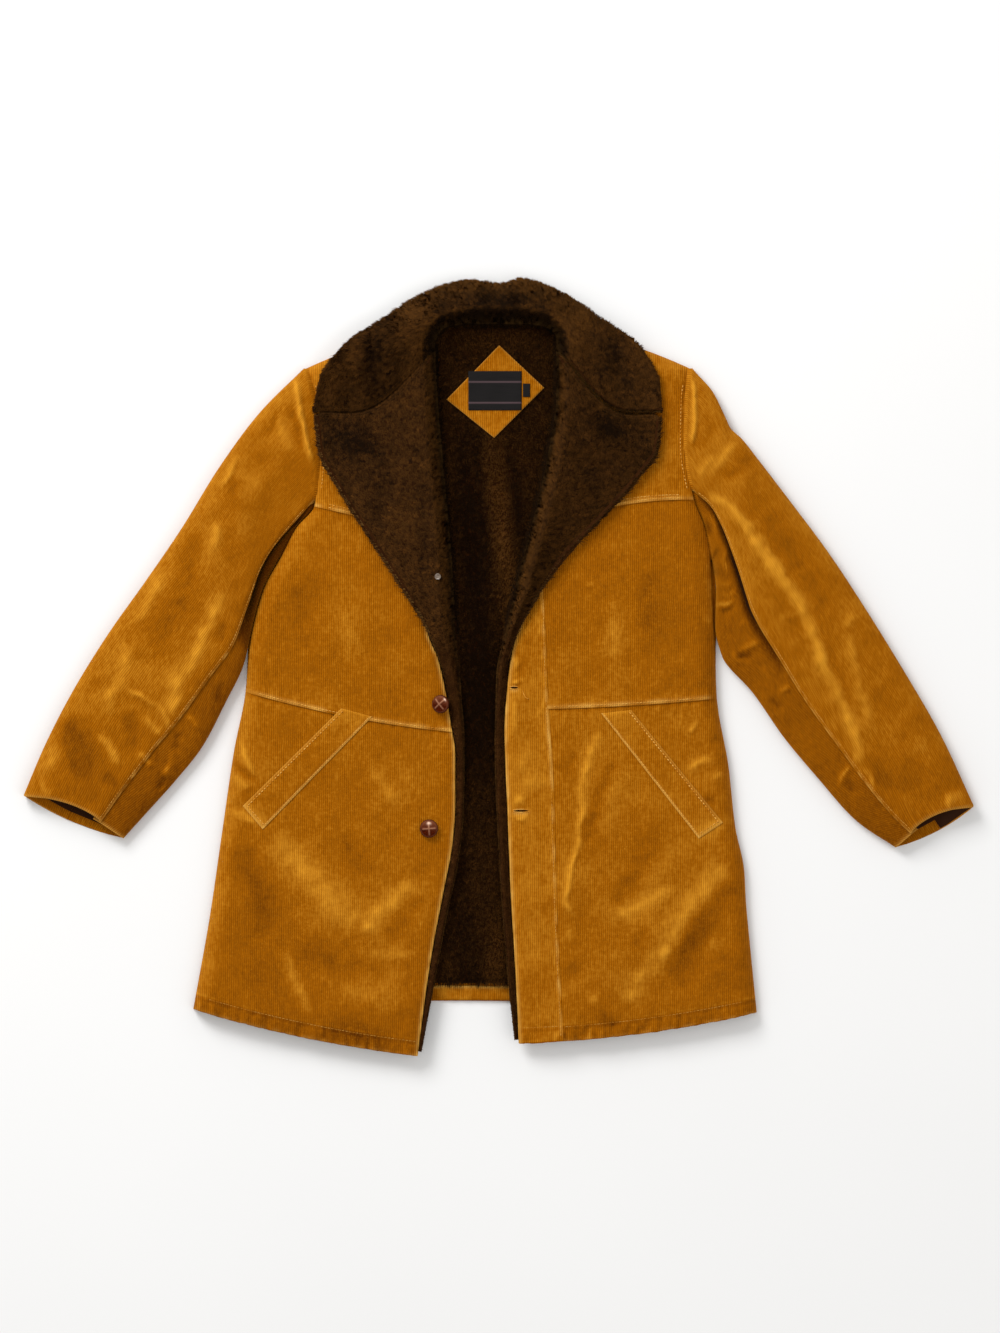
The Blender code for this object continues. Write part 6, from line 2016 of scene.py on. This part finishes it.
def make_button(name, x, y, turn, tilt, lift):
    """A domed leather button with strands crossing over its middle."""
    rings, spokes = 26, 96
    radius = np.sin(np.linspace(0, math.pi / 2, rings))
    angle = np.linspace(0, math.tau, spokes, endpoint=False)
    r, a = np.meshgrid(radius, angle, indexing="ij")
    px, py = r * np.cos(a), r * np.sin(a)
    strand = np.maximum(bell(px, BUTTON_STRAND), bell(py, BUTTON_STRAND))
    strand = strand * np.clip((0.8 - r) / 0.12, 0, 1)
    grooves = sum(bell(np.abs(p), BUTTON_GROOVE_HALF, BUTTON_GROOVE) for p in (px, py))
    grooves = np.clip(grooves, 0, 1) * np.clip((0.85 - r) / 0.1, 0, 1)
    roll = bell(r, BUTTON_ROLL_HALF, BUTTON_ROLL)
    dome = np.sqrt(np.clip(1 - r * r, 0, 1))
    z = BUTTON_HALF_HEIGHT * dome * BUTTON_DOME + 0.5 * strand - 0.45 * grooves + 0.25 * roll
    upper = np.stack([px * BUTTON_RADIUS, py * BUTTON_RADIUS, z], -1)
    lower = upper * (1, 1, 0)
    lower[..., 2] = -0.8 * BUTTON_HALF_HEIGHT * dome
    points = np.concatenate([upper.reshape(-1, 3), lower[::-1].reshape(-1, 3)])
    height = front_height(FRONTS["right"], np.array(float(x)), np.array(float(y)))
    pose = Matrix.Rotation(math.radians(tilt), 3, "Y") @ Matrix.Rotation(math.radians(turn), 3, "Z")
    pose = np.array(pose)
    points = points @ pose.T + (x, y, height + SEAM_GAP + BUTTON_HALF_HEIGHT + lift)
    piece = new_piece(f"{name}_leather", points, turned_faces(2 * rings, spokes), (leather,))
    slope = BUTTON_DOME * BUTTON_HALF_HEIGHT / BUTTON_RADIUS
    facing = np.stack([slope * px, slope * py, dome], -1)
    facing = (facing / np.linalg.norm(facing, axis=-1, keepdims=True)) @ pose.T
    # Painted light: the side of the face towards the light is lighter, and a painted highlight lies
    # where the face looks the highlight's way
    painted_light_side = np.clip(0.25 + 1.6 * facing[..., 1] + 0.3 * facing[..., 0], 0, 1)
    painted_highlight = bell(np.linalg.norm(facing - BUTTON_HIGHLIGHT_FACING, axis=-1), 0.1)
    below = np.zeros(r.size)
    # wear: strands worn pale, paler on the painted lit side; nap: painted light on the upper side; the
    # last: the painted highlight
    for label, values in (
        ("wear", strand * (0.35 + 0.5 * painted_light_side) + 0.08 * roll),
        ("nap", 0.5 * painted_light_side * np.clip((0.95 - r) / 0.15, 0, 1)),
        ("painted_highlight", painted_highlight),
    ):
        add_values(piece, label, np.concatenate([values.ravel(), below]))
    weld(piece)
    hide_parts(name)


def weld(piece):
    """Joins the points of a turned piece that lie in the same place."""
    mesh = bmesh.new()
    mesh.from_mesh(piece.data)
    bmesh.ops.remove_doubles(mesh, verts=mesh.verts, dist=1e-6)
    bmesh.ops.recalc_face_normals(mesh, faces=mesh.faces)
    mesh.to_mesh(piece.data)
    mesh.free()


def make_stay_button():
    """The small stay button on the right lapel: a dished disc."""
    fall = np.array([STAY_BUTTON_REACH, STAY_BUTTON_REACH + 0.05])
    here, out = fall_surface(RIGHT_FACING_ROWS, np.zeros(0), fall, np.array([STAY_BUTTON_ROW]))[0]
    down = fall_surface(RIGHT_FACING_ROWS, np.zeros(0), fall, np.array([STAY_BUTTON_ROW + 0.1]))[0, 0]
    normal = Vector(np.cross(out - here, down - here)).normalized()
    spokes = 36
    angle = np.linspace(0, math.tau, spokes, endpoint=False)
    circle = np.stack([np.cos(angle), np.sin(angle), 0 * angle], 1)
    rings = [circle * radius + (0, 0, z) for radius, z in STAY_PROFILE]
    turn = np.array(normal.to_track_quat("Z", "Y").to_matrix())
    points = np.concatenate(rings) @ turn.T + here + np.array(normal) * STAY_BUTTON_LIFT
    faces = turned_faces(len(STAY_PROFILE), spokes)
    piece = new_piece("stay_button_horn", points, faces, (horn,))
    weld(piece)
    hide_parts("stay_button")


def make_stage():
    """Pale floor, soft light from above, and the camera straight over the jacket."""
    place = (0, 0, -FLOOR_DROP)
    bpy.ops.mesh.primitive_grid_add(x_subdivisions=4, y_subdivisions=4, size=FLOOR_SIZE, location=place)
    floor = bpy.context.object
    floor.name = "floor"
    floor.data.materials.append(make_floor_paint())

    world = bpy.data.worlds.new("studio")
    bpy.context.scene.world = world
    world.use_nodes = True
    world.node_tree.nodes["Background"].inputs["Color"].default_value = SKY
    world.node_tree.nodes["Background"].inputs["Strength"].default_value = SKY_STRENGTH

    def area_light(name, place, size, power):
        light = bpy.data.lights.new(name, "AREA")
        light.shape = "SQUARE"
        light.size = size
        light.energy = power
        lamp = bpy.data.objects.new(name, light)
        lamp.location = place
        lamp.rotation_euler = (-Vector(place)).to_track_quat("-Z", "Y").to_euler()
        bpy.context.scene.collection.objects.link(lamp)

    for light in LIGHTS:
        area_light(*light)

    camera = bpy.data.cameras.new("camera")
    camera.lens = SENSOR * CAMERA_HEIGHT / FRAME_HEIGHT
    camera.sensor_width = SENSOR
    view = bpy.data.objects.new("camera", camera)
    view.location = (-LAYOUT_CENTRE[0] * MM, -LAYOUT_CENTRE[1] * MM, CAMERA_HEIGHT)
    bpy.context.scene.collection.objects.link(view)
    bpy.context.scene.camera = view
    bpy.context.scene.view_settings.view_transform = "Standard"


seams = Stitches()
make_back()
make_lining()
for side in ("right", "left"):
    for panel in PANELS:
        make_panel(side, panel, seams)
    make_welt(side, seams)
    make_armhole_stitches(side, seams)
    make_sleeve(side, seams)
make_placket(seams)
make_patches()
for folded in FOLDED:
    make_folded(*folded)
for name, button in BUTTONS.items():
    make_button(name, *button)
make_stay_button()
seams.make("stitches")
make_stage()
